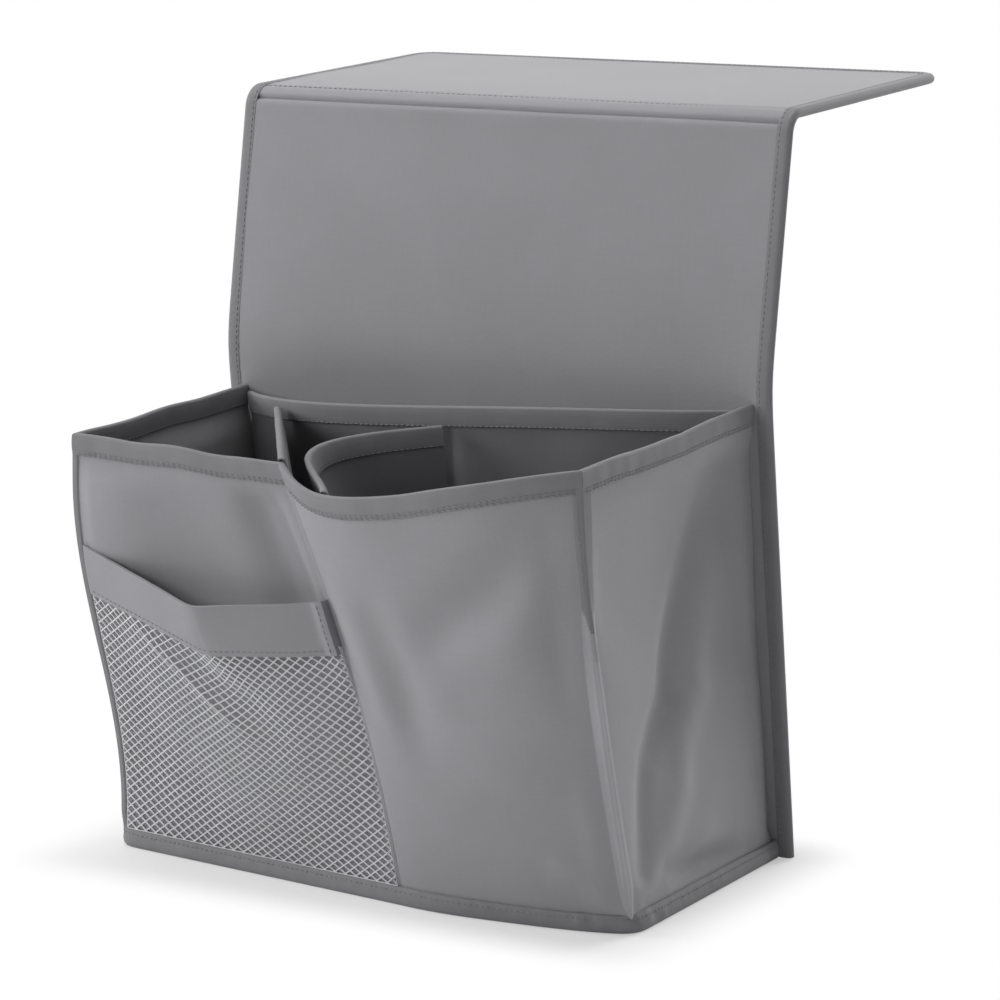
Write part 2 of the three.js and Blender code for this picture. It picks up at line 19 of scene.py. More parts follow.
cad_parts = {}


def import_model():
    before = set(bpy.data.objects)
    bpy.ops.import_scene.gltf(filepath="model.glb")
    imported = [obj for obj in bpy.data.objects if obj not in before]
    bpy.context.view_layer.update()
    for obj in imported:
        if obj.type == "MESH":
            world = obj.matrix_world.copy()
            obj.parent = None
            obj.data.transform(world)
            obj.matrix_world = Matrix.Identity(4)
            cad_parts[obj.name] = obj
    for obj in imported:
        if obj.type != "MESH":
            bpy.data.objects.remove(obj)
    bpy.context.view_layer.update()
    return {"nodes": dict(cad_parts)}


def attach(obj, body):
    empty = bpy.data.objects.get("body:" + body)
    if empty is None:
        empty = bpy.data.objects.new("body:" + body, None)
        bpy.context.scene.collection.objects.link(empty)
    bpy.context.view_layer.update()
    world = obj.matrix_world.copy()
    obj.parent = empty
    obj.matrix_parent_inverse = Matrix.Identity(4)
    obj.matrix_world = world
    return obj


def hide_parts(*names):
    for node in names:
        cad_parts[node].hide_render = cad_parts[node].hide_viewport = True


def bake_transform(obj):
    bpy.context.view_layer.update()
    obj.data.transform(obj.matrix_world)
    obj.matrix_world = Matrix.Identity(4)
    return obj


LOG = logging.getLogger("bedside_caddy")
MM = 0.001

Colour = tuple[float, float, float]
Span = tuple[float, float]
Line = tuple[Span, ...]
Surface = Callable[[float, float], Vector]
Run = list[tuple[Vector, Vector]]
Socket = bpy.types.NodeSocket
Value = Union[float, Socket]


class Body(Enum):
    """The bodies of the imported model."""

    CADDY = "caddy_body"
    FLAP = "flap"


class Slot(Enum):
    """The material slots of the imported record."""

    CLOTH = "cloth"
    LINING = "lining"
    TAPE = "tape"
    NET = "net"
    BOARD = "board"


class Held(Enum):
    """How a sheet of cloth is held."""

    STRETCHED = "stretched"
    FOLDED = "folded"
    HUNG = "hung"


def lerp(start: float, end: float, share: float) -> float:
    """Return the value a share of the way from start to end."""
    return start + (end - start) * share


def clamp(value: float, low: float = 0.0, high: float = 1.0) -> float:
    """Return the value held between low and high."""
    return max(low, min(high, value))


def ease(value: float, low: float, high: float) -> float:
    """Return 0 below low, 1 above high and a smooth step between them."""
    share = clamp((value - low) / (high - low))
    return share * share * (3 - 2 * share)


def paces(start: float, end: float, count: int) -> list[float]:
    """Return evenly spaced values, from one pace after start up to end."""
    return [lerp(start, end, i / count) for i in range(1, count + 1)]


def facing(place: Sequence[float], target: Sequence[float]) -> Euler:
    """Return the turn that points a lamp or a camera from its place at a target."""
    return (Vector(target) - Vector(place)).to_track_quat("-Z", "Y").to_euler()


# Finishes


class Tree:
    """A node tree with short calls that add and join nodes."""

    def __init__(self, tree: bpy.types.NodeTree) -> None:
        """Keep the node tree."""
        self.tree = tree

    def node(self, kind: str, **inputs: float) -> bpy.types.Node:
        """Add a node.

        Args:
            kind: The node's type.
            **inputs: Values for its input sockets, by name.

        Returns:
            The new node.
        """
        node = self.tree.nodes.new(kind)
        for name, value in inputs.items():
            node.inputs[name.replace("_", " ")].default_value = value
        return node

    def join(self, source: Socket, target: Socket) -> None:
        """Link an output socket to an input socket."""
        self.tree.links.new(source, target)

    def math(self, operation: str, first: Value, second: Value = 0.0) -> Socket:
        """Add a math node.

        Args:
            operation: The node's operation.
            first: A number or a socket.
            second: A number or a socket.

        Returns:
            The node's output socket.
        """
        node = self.tree.nodes.new("ShaderNodeMath")
        node.operation = operation
        for value, target in zip((first, second), node.inputs):
            if isinstance(value, Socket):
                self.join(value, target)
            else:
                target.default_value = value
        return node.outputs[0]

    def group(self, tree: bpy.types.NodeTree, **inputs: float) -> bpy.types.Node:
        """Place a node group.

        Args:
            tree: The group's node tree.
            **inputs: Values for its input sockets, by name.

        Returns:
            The group node.
        """
        node = self.tree.nodes.new("ShaderNodeGroup")
        node.node_tree = tree
        for name, value in inputs.items():
            node.inputs[name].default_value = value
        return node

    def tint(self, shader: bpy.types.Node, colour: Colour, tone: Socket) -> None:
        """Colour a shader.

        Args:
            shader: The shader.
            colour: Its plain colour.
            tone: What the colour's value is multiplied by.
        """
        tinted = self.node("ShaderNodeHueSaturation")
        tinted.inputs["Color"].default_value = (*colour, 1.0)
        self.join(tone, tinted.inputs["Value"])
        self.join(tinted.outputs[0], shader.inputs["Base Color"])

    def mix(self, share: Socket, first: bpy.types.Node, second: bpy.types.Node, surface: Socket) -> None:
        """Mix two shaders.

        Args:
            share: The second shader's share.
            first: The first shader.
            second: The second shader.
            surface: The socket that takes the mix.
        """
        mixed = self.node("ShaderNodeMixShader")
        for source, target in zip((share, first.outputs[0], second.outputs[0]), mixed.inputs):
            self.join(source, target)
        self.join(mixed.outputs[0], surface)


class ClothEffects:
    """The node groups that the finishes share."""

    # Painted shade in the gaps between threads, painted light on their crowns.
    GAP_PAINTED_SHADE = 0.9
    CROWN_PAINTED_LIGHT = 0.2
    ROUGH_SWING = 0.06
    SLUB_FINE = 900.0
    SLUB_LONG = 60.0

    @staticmethod
    def _new(name: str, inputs: dict[str, str], outputs: Sequence[str]) -> tuple[Tree, dict, dict]:
        """Start a node group.

        Args:
            name: The group's name.
            inputs: Socket kinds by input name.
            outputs: Names of its number outputs.

        Returns:
            The tree, its inputs and its outputs by name.
        """
        group = bpy.data.node_groups.new(name, "ShaderNodeTree")
        for label, kind in inputs.items():
            group.interface.new_socket(name=label, in_out="INPUT", socket_type=kind)
        for label in outputs:
            group.interface.new_socket(name=label, in_out="OUTPUT", socket_type="NodeSocketFloat")
        tree = Tree(group)
        entry = group.nodes.new("NodeGroupInput")
        leave = group.nodes.new("NodeGroupOutput")
        given = {label: entry.outputs[label] for label in inputs}
        wanted = {label: leave.inputs[label] for label in outputs}
        return tree, given, wanted

    @cached_property
    def weave(self) -> bpy.types.NodeTree:
        """A plain weave over the cut's own coordinates: thread height, and a tone with painted shade
        between threads and painted light on their crowns.
        """
        tree, given, wanted = self._new(
            "plain_weave",
            {"Vector": "NodeSocketVector", "Thread": "NodeSocketFloat"},
            ("Height", "Tone"),
        )
        split = tree.node("ShaderNodeSeparateXYZ")
        tree.join(given["Vector"], split.inputs[0])
        turn = tree.math("DIVIDE", math.pi, given["Thread"])
        across = tree.math("SINE", tree.math("MULTIPLY", split.outputs[0], turn))
        along = tree.math("SINE", tree.math("MULTIPLY", split.outputs[1], turn))
        crossing = tree.math("MULTIPLY", across, along)
        height = tree.math("ABSOLUTE", crossing)
        tree.join(height, wanted["Height"])
        crown_painted_light = tree.math("MULTIPLY", height, self.CROWN_PAINTED_LIGHT)
        tree.join(tree.math("ADD", self.GAP_PAINTED_SHADE, crown_painted_light), wanted["Tone"])
        return tree.tree

    @cached_property
    def mottle(self) -> bpy.types.NodeTree:
        """Soft patches of tone, as in cloth that has been folded and handled."""
        tree, given, wanted = self._new(
            "handled_mottle",
            {"Vector": "NodeSocketVector", "Scale": "NodeSocketFloat", "Amount": "NodeSocketFloat"},
            ("Tone", "Rough"),
        )
        cloud = tree.node("ShaderNodeTexNoise", Detail=3.0, Roughness=0.55)
        tree.join(given["Vector"], cloud.inputs["Vector"])
        tree.join(given["Scale"], cloud.inputs["Scale"])
        swing = tree.math("MULTIPLY", tree.math("SUBTRACT", cloud.outputs[0], 0.5), 2.0)
        tree.join(tree.math("ADD", 1.0, tree.math("MULTIPLY", swing, given["Amount"])), wanted["Tone"])
        tree.join(tree.math("MULTIPLY", swing, self.ROUGH_SWING), wanted["Rough"])
        return tree.tree

    @cached_property
    def slub(self) -> bpy.types.NodeTree:
        """Thick and thin threads: tone drawn out along the cut's two directions."""
        tree, given, wanted = self._new(
            "thread_slub",
            {"Vector": "NodeSocketVector", "Amount": "NodeSocketFloat"},
            ("Tone",),
        )
        tones = []
        for stretch in ((self.SLUB_FINE, self.SLUB_LONG, 1.0), (self.SLUB_LONG, self.SLUB_FINE, 1.0)):
            drawn = tree.node("ShaderNodeMapping")
            drawn.inputs["Scale"].default_value = stretch
            tree.join(given["Vector"], drawn.inputs["Vector"])
            cloud = tree.node("ShaderNodeTexNoise", Scale=1.0, Detail=1.0)
            tree.join(drawn.outputs[0], cloud.inputs["Vector"])
            tones.append(tree.math("SUBTRACT", cloud.outputs[0], 0.5))
        swing = tree.math("ADD", tones[0], tones[1])
        tree.join(tree.math("ADD", 1.0, tree.math("MULTIPLY", swing, given["Amount"])), wanted["Tone"])
        return tree.tree


def start_material(name: str) -> tuple[bpy.types.Material, Tree, bpy.types.Node]:
    """Start a material.

    Args:
        name: Its name.

    Returns:
        The material, its node tree and its shader.
    """
    made = bpy.data.materials.new(name)
    made.use_nodes = True
    return made, Tree(made.node_tree), made.node_tree.nodes["Principled BSDF"]


@dataclass(frozen=True)
class ClothFinish:
    """A woven cloth: its colour, thread and the marks of handling."""

    name: str
    slot: Slot
    colour: Colour
    thread: float = 0.55
    relief: float = 0.1
    patch: float = 60
    mottle: float = 0.1
    slub: float = 0.07
    roughness: float = 0.8
    sheen: float = 0.1
    sheen_roughness: float = 0.5
    specular: float = 0.25
    bump: float = 0.5

    def material(self, effects: ClothEffects) -> bpy.types.Material:
        """Build the finish.

        Args:
            effects: The shared node groups.

        Returns:
            A material that reads the piece's cut for its weave and Object coordinates for its patches.
        """
        made, tree, shader = start_material(self.name)
        shader.inputs["Sheen Weight"].default_value = self.sheen
        shader.inputs["Sheen Roughness"].default_value = self.sheen_roughness
        shader.inputs["Specular IOR Level"].default_value = self.specular
        place = tree.node("ShaderNodeTexCoord")
        weave = tree.group(effects.weave, Thread=self.thread * MM)
        tree.join(place.outputs["UV"], weave.inputs["Vector"])
        patches = tree.group(effects.mottle, Scale=1 / (self.patch * MM), Amount=self.mottle)
        tree.join(place.outputs["Object"], patches.inputs["Vector"])
        slub = tree.group(effects.slub, Amount=self.slub)
        tree.join(place.outputs["UV"], slub.inputs["Vector"])
        # The weave's tone carries painted shade between threads and painted light on their crowns; the
        # patches and slub are the cloth's own uneven tone.
        tone = tree.math("MULTIPLY", weave.outputs["Tone"], patches.outputs["Tone"])
        tree.tint(shader, self.colour, tree.math("MULTIPLY", tone, slub.outputs["Tone"]))
        tree.join(tree.math("ADD", self.roughness, patches.outputs["Rough"]), shader.inputs["Roughness"])
        bump = tree.node("ShaderNodeBump", Strength=self.bump, Distance=self.relief * MM)
        tree.join(weave.outputs["Height"], bump.inputs["Height"])
        tree.join(bump.outputs[0], shader.inputs["Normal"])
        return made


@dataclass(frozen=True)
class BoardFinish:
    """A grey stiffener board: plain, matt and a little mottled."""

    name: str
    slot: Slot
    colour: Colour
    roughness: float = 0.6
    patches_a_metre: float = 120.0
    mottle: float = 0.12

    def material(self, effects: ClothEffects) -> bpy.types.Material:
        """Build the finish.

        Args:
            effects: The shared node groups.

        Returns:
            A material on Object coordinates.
        """
        made, tree, shader = start_material(self.name)
        place = tree.node("ShaderNodeTexCoord")
        patches = tree.group(effects.mottle, Scale=self.patches_a_metre, Amount=self.mottle)
        tree.join(place.outputs["Object"], patches.inputs["Vector"])
        tree.tint(shader, self.colour, patches.outputs["Tone"])
        tree.join(tree.math("ADD", self.roughness, patches.outputs["Rough"]), shader.inputs["Roughness"])
        return made


class Finish(Enum):
    """Every finish on the caddy."""

    CLOTH = ClothFinish("grey_cloth", Slot.CLOTH, (0.275, 0.275, 0.289))
    FLAP = ClothFinish(
        "flap_cloth", Slot.CLOTH, (0.285, 0.285, 0.299), patch=80, mottle=0.08, roughness=0.78
    )
    LINING = ClothFinish(
        "grey_lining", Slot.LINING, (0.135, 0.135, 0.143), slub=0.08, roughness=0.85, sheen=0.05
    )
    TAPE = ClothFinish(
        "binding_tape", Slot.TAPE, (0.2, 0.2, 0.21),
        thread=0.45, relief=0.03, patch=22, mottle=0.12, slub=0.05, roughness=0.82,
    )
    HEM = ClothFinish(
        "pocket_hem", Slot.CLOTH, (0.275, 0.275, 0.289), thread=0.5, patch=40, mottle=0.08, slub=0.06
    )
    # A lighter copy of the cloth: painted light on the pinched ridge of the right corner strip.
    RIDGE_PAINTED_LIGHT = ClothFinish(
        "corner_ridge_painted_light", Slot.CLOTH, (0.32, 0.32, 0.336), thread=0.5, relief=0.03, patch=40, slub=0.06
    )
    NET = ClothFinish(
        "light_net", Slot.NET, (0.6, 0.6, 0.62),
        thread=0.4, relief=0.08, patch=25, mottle=0.08, slub=0.06, roughness=0.6, sheen=0.2,
    )
    THREAD = ClothFinish(
        "sewing_thread", Slot.TAPE, (0.23, 0.23, 0.242),
        thread=0.35, relief=0.08, patch=20, slub=0.06, roughness=0.7,
    )
    BOARD = BoardFinish("stiffener_board", Slot.BOARD, (0.33, 0.33, 0.31))


# Cutting and sewing


@dataclass(frozen=True)
class Cut:
    """How a sheet of cloth is cut and what it stands for."""

    name: str
    finish: Finish
    columns: int
    rows: int
    thick: float
    nodes: tuple[str, ...] = ()
    rests_on: tuple[str, ...] = ()
    held: Held = Held.STRETCHED
    crosses_fold: bool = False
    upper: Optional[Finish] = None
    upper_from: float = 1.0
    upper_slant: float = 0.24


@dataclass
class Workroom:
    """Cuts sheets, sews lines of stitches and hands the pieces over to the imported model."""

    fold_start: Vector
    fold_end: Vector
    stitch_length: float = 2.3
    stitch_width: float = 0.6
    stitch_pitch: float = 3.1
    crease_angle: float = math.radians(50)
    materials: dict[Finish, bpy.types.Material] = field(default_factory=dict)

    def stock(self) -> None:
        """Make every finish's material."""
        effects = ClothEffects()
        for finish in Finish:
            self.materials[finish] = finish.value.material(effects)

    def sheet(self, cut: Cut, place: Surface) -> bpy.types.Object:
        """Cut a sheet, lay it on a surface and give it its thickness.

        Args:
            cut: How it is cut.
            place: Maps shares across and along the cut to a point of its middle surface.

        Returns:
            The piece.
        """
        mesh = bmesh.new()
        mesh.loops.layers.uv.new("cut")
        bmesh.ops.create_grid(mesh, x_segments=cut.columns, y_segments=cut.rows, size=0.5, calc_uvs=True)
        for face in mesh.faces:
            middle = face.calc_center_median()
            height = middle.y + 0.5 - cut.upper_slant * abs(middle.x)
            face.material_index = int(height > cut.upper_from)
        for vert in mesh.verts:
            vert.co = place(vert.co.x + 0.5, vert.co.y + 0.5) * MM
        flat = self.flat_size(mesh, cut.columns, cut.rows)
        self.scale_cut(mesh, flat)
        self.thicken(mesh, cut.thick)
        return self.declare(mesh, cut, flat)

    @staticmethod
    def flat_size(mesh: bmesh.types.BMesh, columns: int, rows: int) -> tuple[float, float]:
        """Measure a grid before it has a thickness.

        Args:
            mesh: A grid as create_grid makes it.
            columns: Its cells across.
            rows: Its cells along.

        Returns:
            Its mean width and mean length, in metres.
        """
        points = [vert.co for vert in mesh.verts]
        wide = columns + 1
        across = sum(
            (points[j * wide + i + 1] - points[j * wide + i]).length
            for j in range(rows + 1)
            for i in range(columns)
        )
        along = sum(
            (points[(j + 1) * wide + i] - points[j * wide + i]).length
            for j in range(rows)
            for i in range(wide)
        )
        return across / (rows + 1), along / wide

    @staticmethod
    def scale_cut(mesh: bmesh.types.BMesh, flat: tuple[float, float]) -> None:
        """Give the cut's own coordinates in metres, so that a weave has its real size.

        Args:
            mesh: The sheet's mesh.
            flat: Its flat width and length, in metres.
        """
        layer = mesh.loops.layers.uv.active
        for face in mesh.faces:
            for loop in face.loops:
                loop[layer].uv = (loop[layer].uv.x * flat[0], loop[layer].uv.y * flat[1])

    @staticmethod
    def thicken(mesh: bmesh.types.BMesh, thick: float) -> None:
        """Turn an open sheet into a closed one, half of its thickness on each side.

        Args:
            mesh: The open sheet.
            thick: Its thickness.
        """
        mesh.normal_update()
        for vert in mesh.verts:
            vert.co += vert.normal * (thick * MM / 2)
        made = bmesh.ops.extrude_face_region(mesh, geom=mesh.faces[:], use_keep_orig=True)
        for vert in made["geom"]:
            if isinstance(vert, bmesh.types.BMVert):
                vert.co -= vert.normal * (thick * MM)
        bmesh.ops.recalc_face_normals(mesh, faces=mesh.faces[:])

    def declare(
        self, mesh: bmesh.types.BMesh, cut: Cut, flat: tuple[float, float], area: Optional[float] = None
    ) -> bpy.types.Object:
        """Hand a cut sheet over.

        Args:
            mesh: The finished mesh.
            cut: How it was cut.
            flat: Its flat width and length, in metres.
            area: Its flat area in square metres, where it isn't a full rectangle. Not used.

        Returns:
            The piece.
        """
        piece = self.hand_over(mesh, cut.name, cut.finish, cut.crosses_fold)
        if cut.upper:
            piece.data.materials.append(self.materials[cut.upper])
        if cut.nodes:
            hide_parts(*cut.nodes)
        LOG.info("%s: cut %.0f x %.0f mm", cut.name, flat[0] / MM, flat[1] / MM)
        return piece

    def hand_over(
        self, mesh: bmesh.types.BMesh, name: str, finish: Finish, crosses_fold: bool
    ) -> bpy.types.Object:
        """Make a mesh an object, dress it and, unless it crosses the flap's fold, put it on the caddy's
        body.

        Args:
            mesh: The finished mesh, which is freed.
            name: The piece's name.
            finish: Its finish.
            crosses_fold: Whether it crosses the flap's fold, which leaves it where it is, off the caddy's
                body.

        Returns:
            The piece.
        """
        for edge in mesh.edges:
            edge.smooth = edge.calc_face_angle(0.0) < self.crease_angle
        for face in mesh.faces:
            face.smooth = True
        data = bpy.data.meshes.new(name)
        mesh.to_mesh(data)
        mesh.free()
        data.materials.append(self.materials[finish])
        piece = bpy.data.objects.new(name, data)
        bpy.context.scene.collection.objects.link(piece)
        if crosses_fold:
            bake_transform(piece)
        else:
            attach(piece, Body.CADDY.value)
        return piece

    def stitches(self, name: str, runs: Sequence[Run], crosses_fold: bool = False) -> bpy.types.Object:
        """Sew lines of stitches.

        Args:
            name: The piece's name.
            runs: Lines of points with the direction off the cloth at each.
            crosses_fold: Whether they cross the flap's fold, which leaves them where they are, off the
                caddy's body.

        Returns:
            The piece.
        """
        mesh = bmesh.new()
        mesh.loops.layers.uv.new("cut")
        count = 0
        for run in runs:
            for matrix in self.along(run):
                bmesh.ops.create_icosphere(mesh, subdivisions=1, radius=0.5, matrix=matrix, calc_uvs=True)
                count += 1
        piece = self.hand_over(mesh, name, Finish.THREAD, crosses_fold)
        LOG.info("%s: %d stitches", name, count)
        return piece

    def along(self, run: Run) -> list[Matrix]:
        """Space stitches along a line.

        Args:
            run: Points with the direction off the cloth at each.

        Returns:
            One matrix for each stitch, in metres.
        """
        lengths = [0.0]
        for (start, _), (end, _) in zip(run, run[1:]):
            lengths.append(lengths[-1] + (end - start).length)
        count = max(int(lengths[-1] / self.stitch_pitch), 1)
        matrices = []
        for k in range(count):
            reach = (k + 0.5) * lengths[-1] / count
            i = clamp(bisect_right(lengths, reach) - 1, 0, len(run) - 2)
            share = (reach - lengths[i]) / max(lengths[i + 1] - lengths[i], 1e-6)
            middle = run[i][0].lerp(run[i + 1][0], share)
            forward = (run[i + 1][0] - run[i][0]).normalized()
            lift = run[i][1].lerp(run[i + 1][1], share)
            side = lift.cross(forward).normalized()
            lift = forward.cross(side)
            turn = Matrix((forward, side, lift)).transposed().to_4x4()
            size = Matrix.Diagonal((self.stitch_length, self.stitch_width, self.stitch_width, 1 / MM)) * MM
            matrices.append(Matrix.Translation(middle * MM) @ turn @ size)
        return matrices


# Surfaces


@dataclass(frozen=True)
class Fold:
    """A soft fold in a wall: a line in shares of the wall, its height and half width, and its ends."""

    line: Line
    height: float
    width: float
    start: float = 0.2
    end: float = 0.2
    end_span: float = 0.35
    spread: float = 3.0

    def lift(self, u: float, v: float, wide: float, tall: float) -> float:
        """Find how far the fold stands out.

        Args:
            u: The share across the wall.
            v: The share up the wall.
            wide: The wall's width.
            tall: The wall's height.

        Returns:
            The distance off the plain wall, negative for a valley.
        """
        x, y = u * wide, v * tall
        best, reach, run = math.inf, 0.0, 0.0
        for (from_u, from_v), (to_u, to_v) in zip(self.line, self.line[1:]):
            step_x, step_y = (to_u - from_u) * wide, (to_v - from_v) * tall
            off_x, off_y = x - from_u * wide, y - from_v * tall
            long = math.hypot(step_x, step_y)
            share = clamp((off_x * step_x + off_y * step_y) / long**2)
            away = math.hypot(off_x - step_x * share, off_y - step_y * share)
            if away < best:
                best, reach = away, run + share * long
            run += long
        if best > self.spread * self.width:
            return 0.0
        share = reach / run
        ends = lerp(self.start, 1, ease(share, 0, self.end_span))
        ends *= lerp(self.end, 1, ease(1 - share, 0, self.end_span))
        return self.height * ends * math.exp(-((best / self.width) ** 2))


def tent(share: float, peak: float, rounding: float, dive: float = 1.0) -> float:
    """Return 0 at both ends of a span and about 1 at a rounded peak, which a higher dive comes to late."""
    rise, fall = (share / peak) ** dive, (1 - share) / (1 - peak)
    return -rounding * math.log(math.exp(-rise / rounding) + math.exp(-fall / rounding))


@dataclass(frozen=True)
class Pleat:
    """A gusset's inward fold: two flanks that meet along a valley, whose places run from foot to rim."""

    valley: Line
    depth: float
    rounding: float = 0.07
    grows: Span = (0.0, 0.35)
    eases: Span = (0.55, 1.0)
    rim_share: float = 0.5
    foot_dive: float = 1.0
    rim_dive: float = 1.0
    dive_turns: Span = (0.45, 0.75)
    blur: tuple[float, ...] = (-0.06, -0.03, 0.0, 0.03, 0.06)

    def across(self, v: float) -> float:
        """Find the valley's place across the wall.

        Args:
            v: The share up the wall.

        Returns:
            The share across it.
        """
        for (from_u, from_v), (to_u, to_v) in zip(self.valley, self.valley[1:]):
            if v <= to_v:
                return lerp(from_u, to_u, clamp((v - from_v) / (to_v - from_v)))
        return self.valley[-1][0]

    def lift(self, u: float, v: float, wide: float, tall: float) -> float:
        """Find how far the pleat falls in.

        Args:
            u: The share across the wall.
            v: The share up the wall.
            wide: The wall's width. Not used.
            tall: The wall's height. Not used.

        Returns:
            The distance off the plain wall, which is negative.
        """
        middle = sum(self.across(v + step) for step in self.blur) / len(self.blur)
        drawn = ease(v, *self.grows) * lerp(1, self.rim_share, ease(v, *self.eases))
        dive = lerp(self.foot_dive, self.rim_dive, ease(v, *self.dive_turns))
        return -self.depth * drawn * tent(clamp(u), middle, self.rounding, dive)


@dataclass
class Wall:
    """A wall as a surface, u from its first seam to its second and v from foot to rim, with its folds."""

    surface: Surface
    folds: tuple[Union[Fold, Pleat], ...] = ()
    crumple: float = 0.6
    crumple_size: float = 55.0
    seed: float = 0.0
    free_end: Optional[int] = None
    before: Optional["Wall"] = None
    after: Optional["Wall"] = None
    held_side: float = 14
    held_rim: Span = (8, 24)
    held_foot: Span = (5, 16)
    sewn_from: float = 0.01

    def out(self, u: float, v: float) -> Vector:
        """Find the way out of the wall, on the right hand of its run.

        Args:
            u: The share across the wall.
            v: The share up the wall.

        Returns:
            A level unit vector.
        """
        step = 1e-3
        along = self.surface(min(u + step, 1), v) - self.surface(max(u - step, 0), v)
        return Vector((along.y, -along.x, 0)).normalized()

    def mitre(self, u: float, v: float) -> Vector:
        """Find the way out of the wall, lengthened where it meets the next wall.

        Args:
            u: The share across the wall.
            v: The share up the wall.

        Returns:
            A level vector that is one long across the wall.
        """
        here = self.out(u, v)
        other = None
        if u <= 0 and self.before:
            other = self.before.out(1, v)
        if u >= 1 and self.after:
            other = self.after.out(0, v)
        if other is None:
            return here
        return (here + other) / (1 + here.dot(other))

    def at(self, u: float, v: float, out: float) -> Vector:
        """Return a point off the plain wall."""
        return self.surface(u, v) + self.mitre(u, v) * out

    def rim(self, u: float) -> float:
        """Return the height of the rim."""
        return self.surface(u, 1).z

    def length(self, v: float) -> float:
        """Return how far apart the wall's two ends are."""
        run = self.surface(1, v) - self.surface(0, v)
        return math.hypot(run.x, run.y)

    @cached_property
    def size(self) -> Span:
        """The wall's width halfway up, and its height."""
        return self.length(0.5), self.rim(0.5)

    def relief(self, u: float, v: float) -> float:
        """Find how far the folds and the cloth's own unevenness move the wall.

        Args:
            u: The share across the wall.
            v: The share up the wall.

        Returns:
            The distance off the plain wall, 0 where the cloth is held.
        """
        wide, tall = self.size
        lift = sum(fold.lift(u, v, wide, tall) for fold in self.folds)
        spot = Vector((u * wide, v * tall, 0)) / self.crumple_size
        lift += self.crumple * noise.noise(spot + Vector((0, 0, self.seed)))
        near = {None: min(u, 1 - u), 0: 1 - u, 1: u}[self.free_end]
        held = ease(near * wide, 0, self.held_side)
        return lift * held * ease((1 - v) * tall, *self.held_rim) * ease(v * tall, *self.held_foot)

    def cloth(self, u: float, v: float) -> Vector:
        """Return a point of the wall with its folds."""
        return self.at(u, v, self.relief(u, v))

    def rim_run(self, drop: float, out: float, steps: int = 60) -> Run:
        """Mark a line along the wall below its rim.

        Args:
            drop: How far below the rim it runs.
            out: Its distance off the wall's middle, negative on the inside.
            steps: How many steps it takes.

        Returns:
            Its points, with the direction off the wall at each.
        """
        run = []
        for i in range(steps + 1):
            u = lerp(self.sewn_from, 1 - self.sewn_from, i / steps)
            run.append((self.at(u, 1 - drop / self.rim(u), out), self.out(u, 1) * math.copysign(1, out)))
        return run


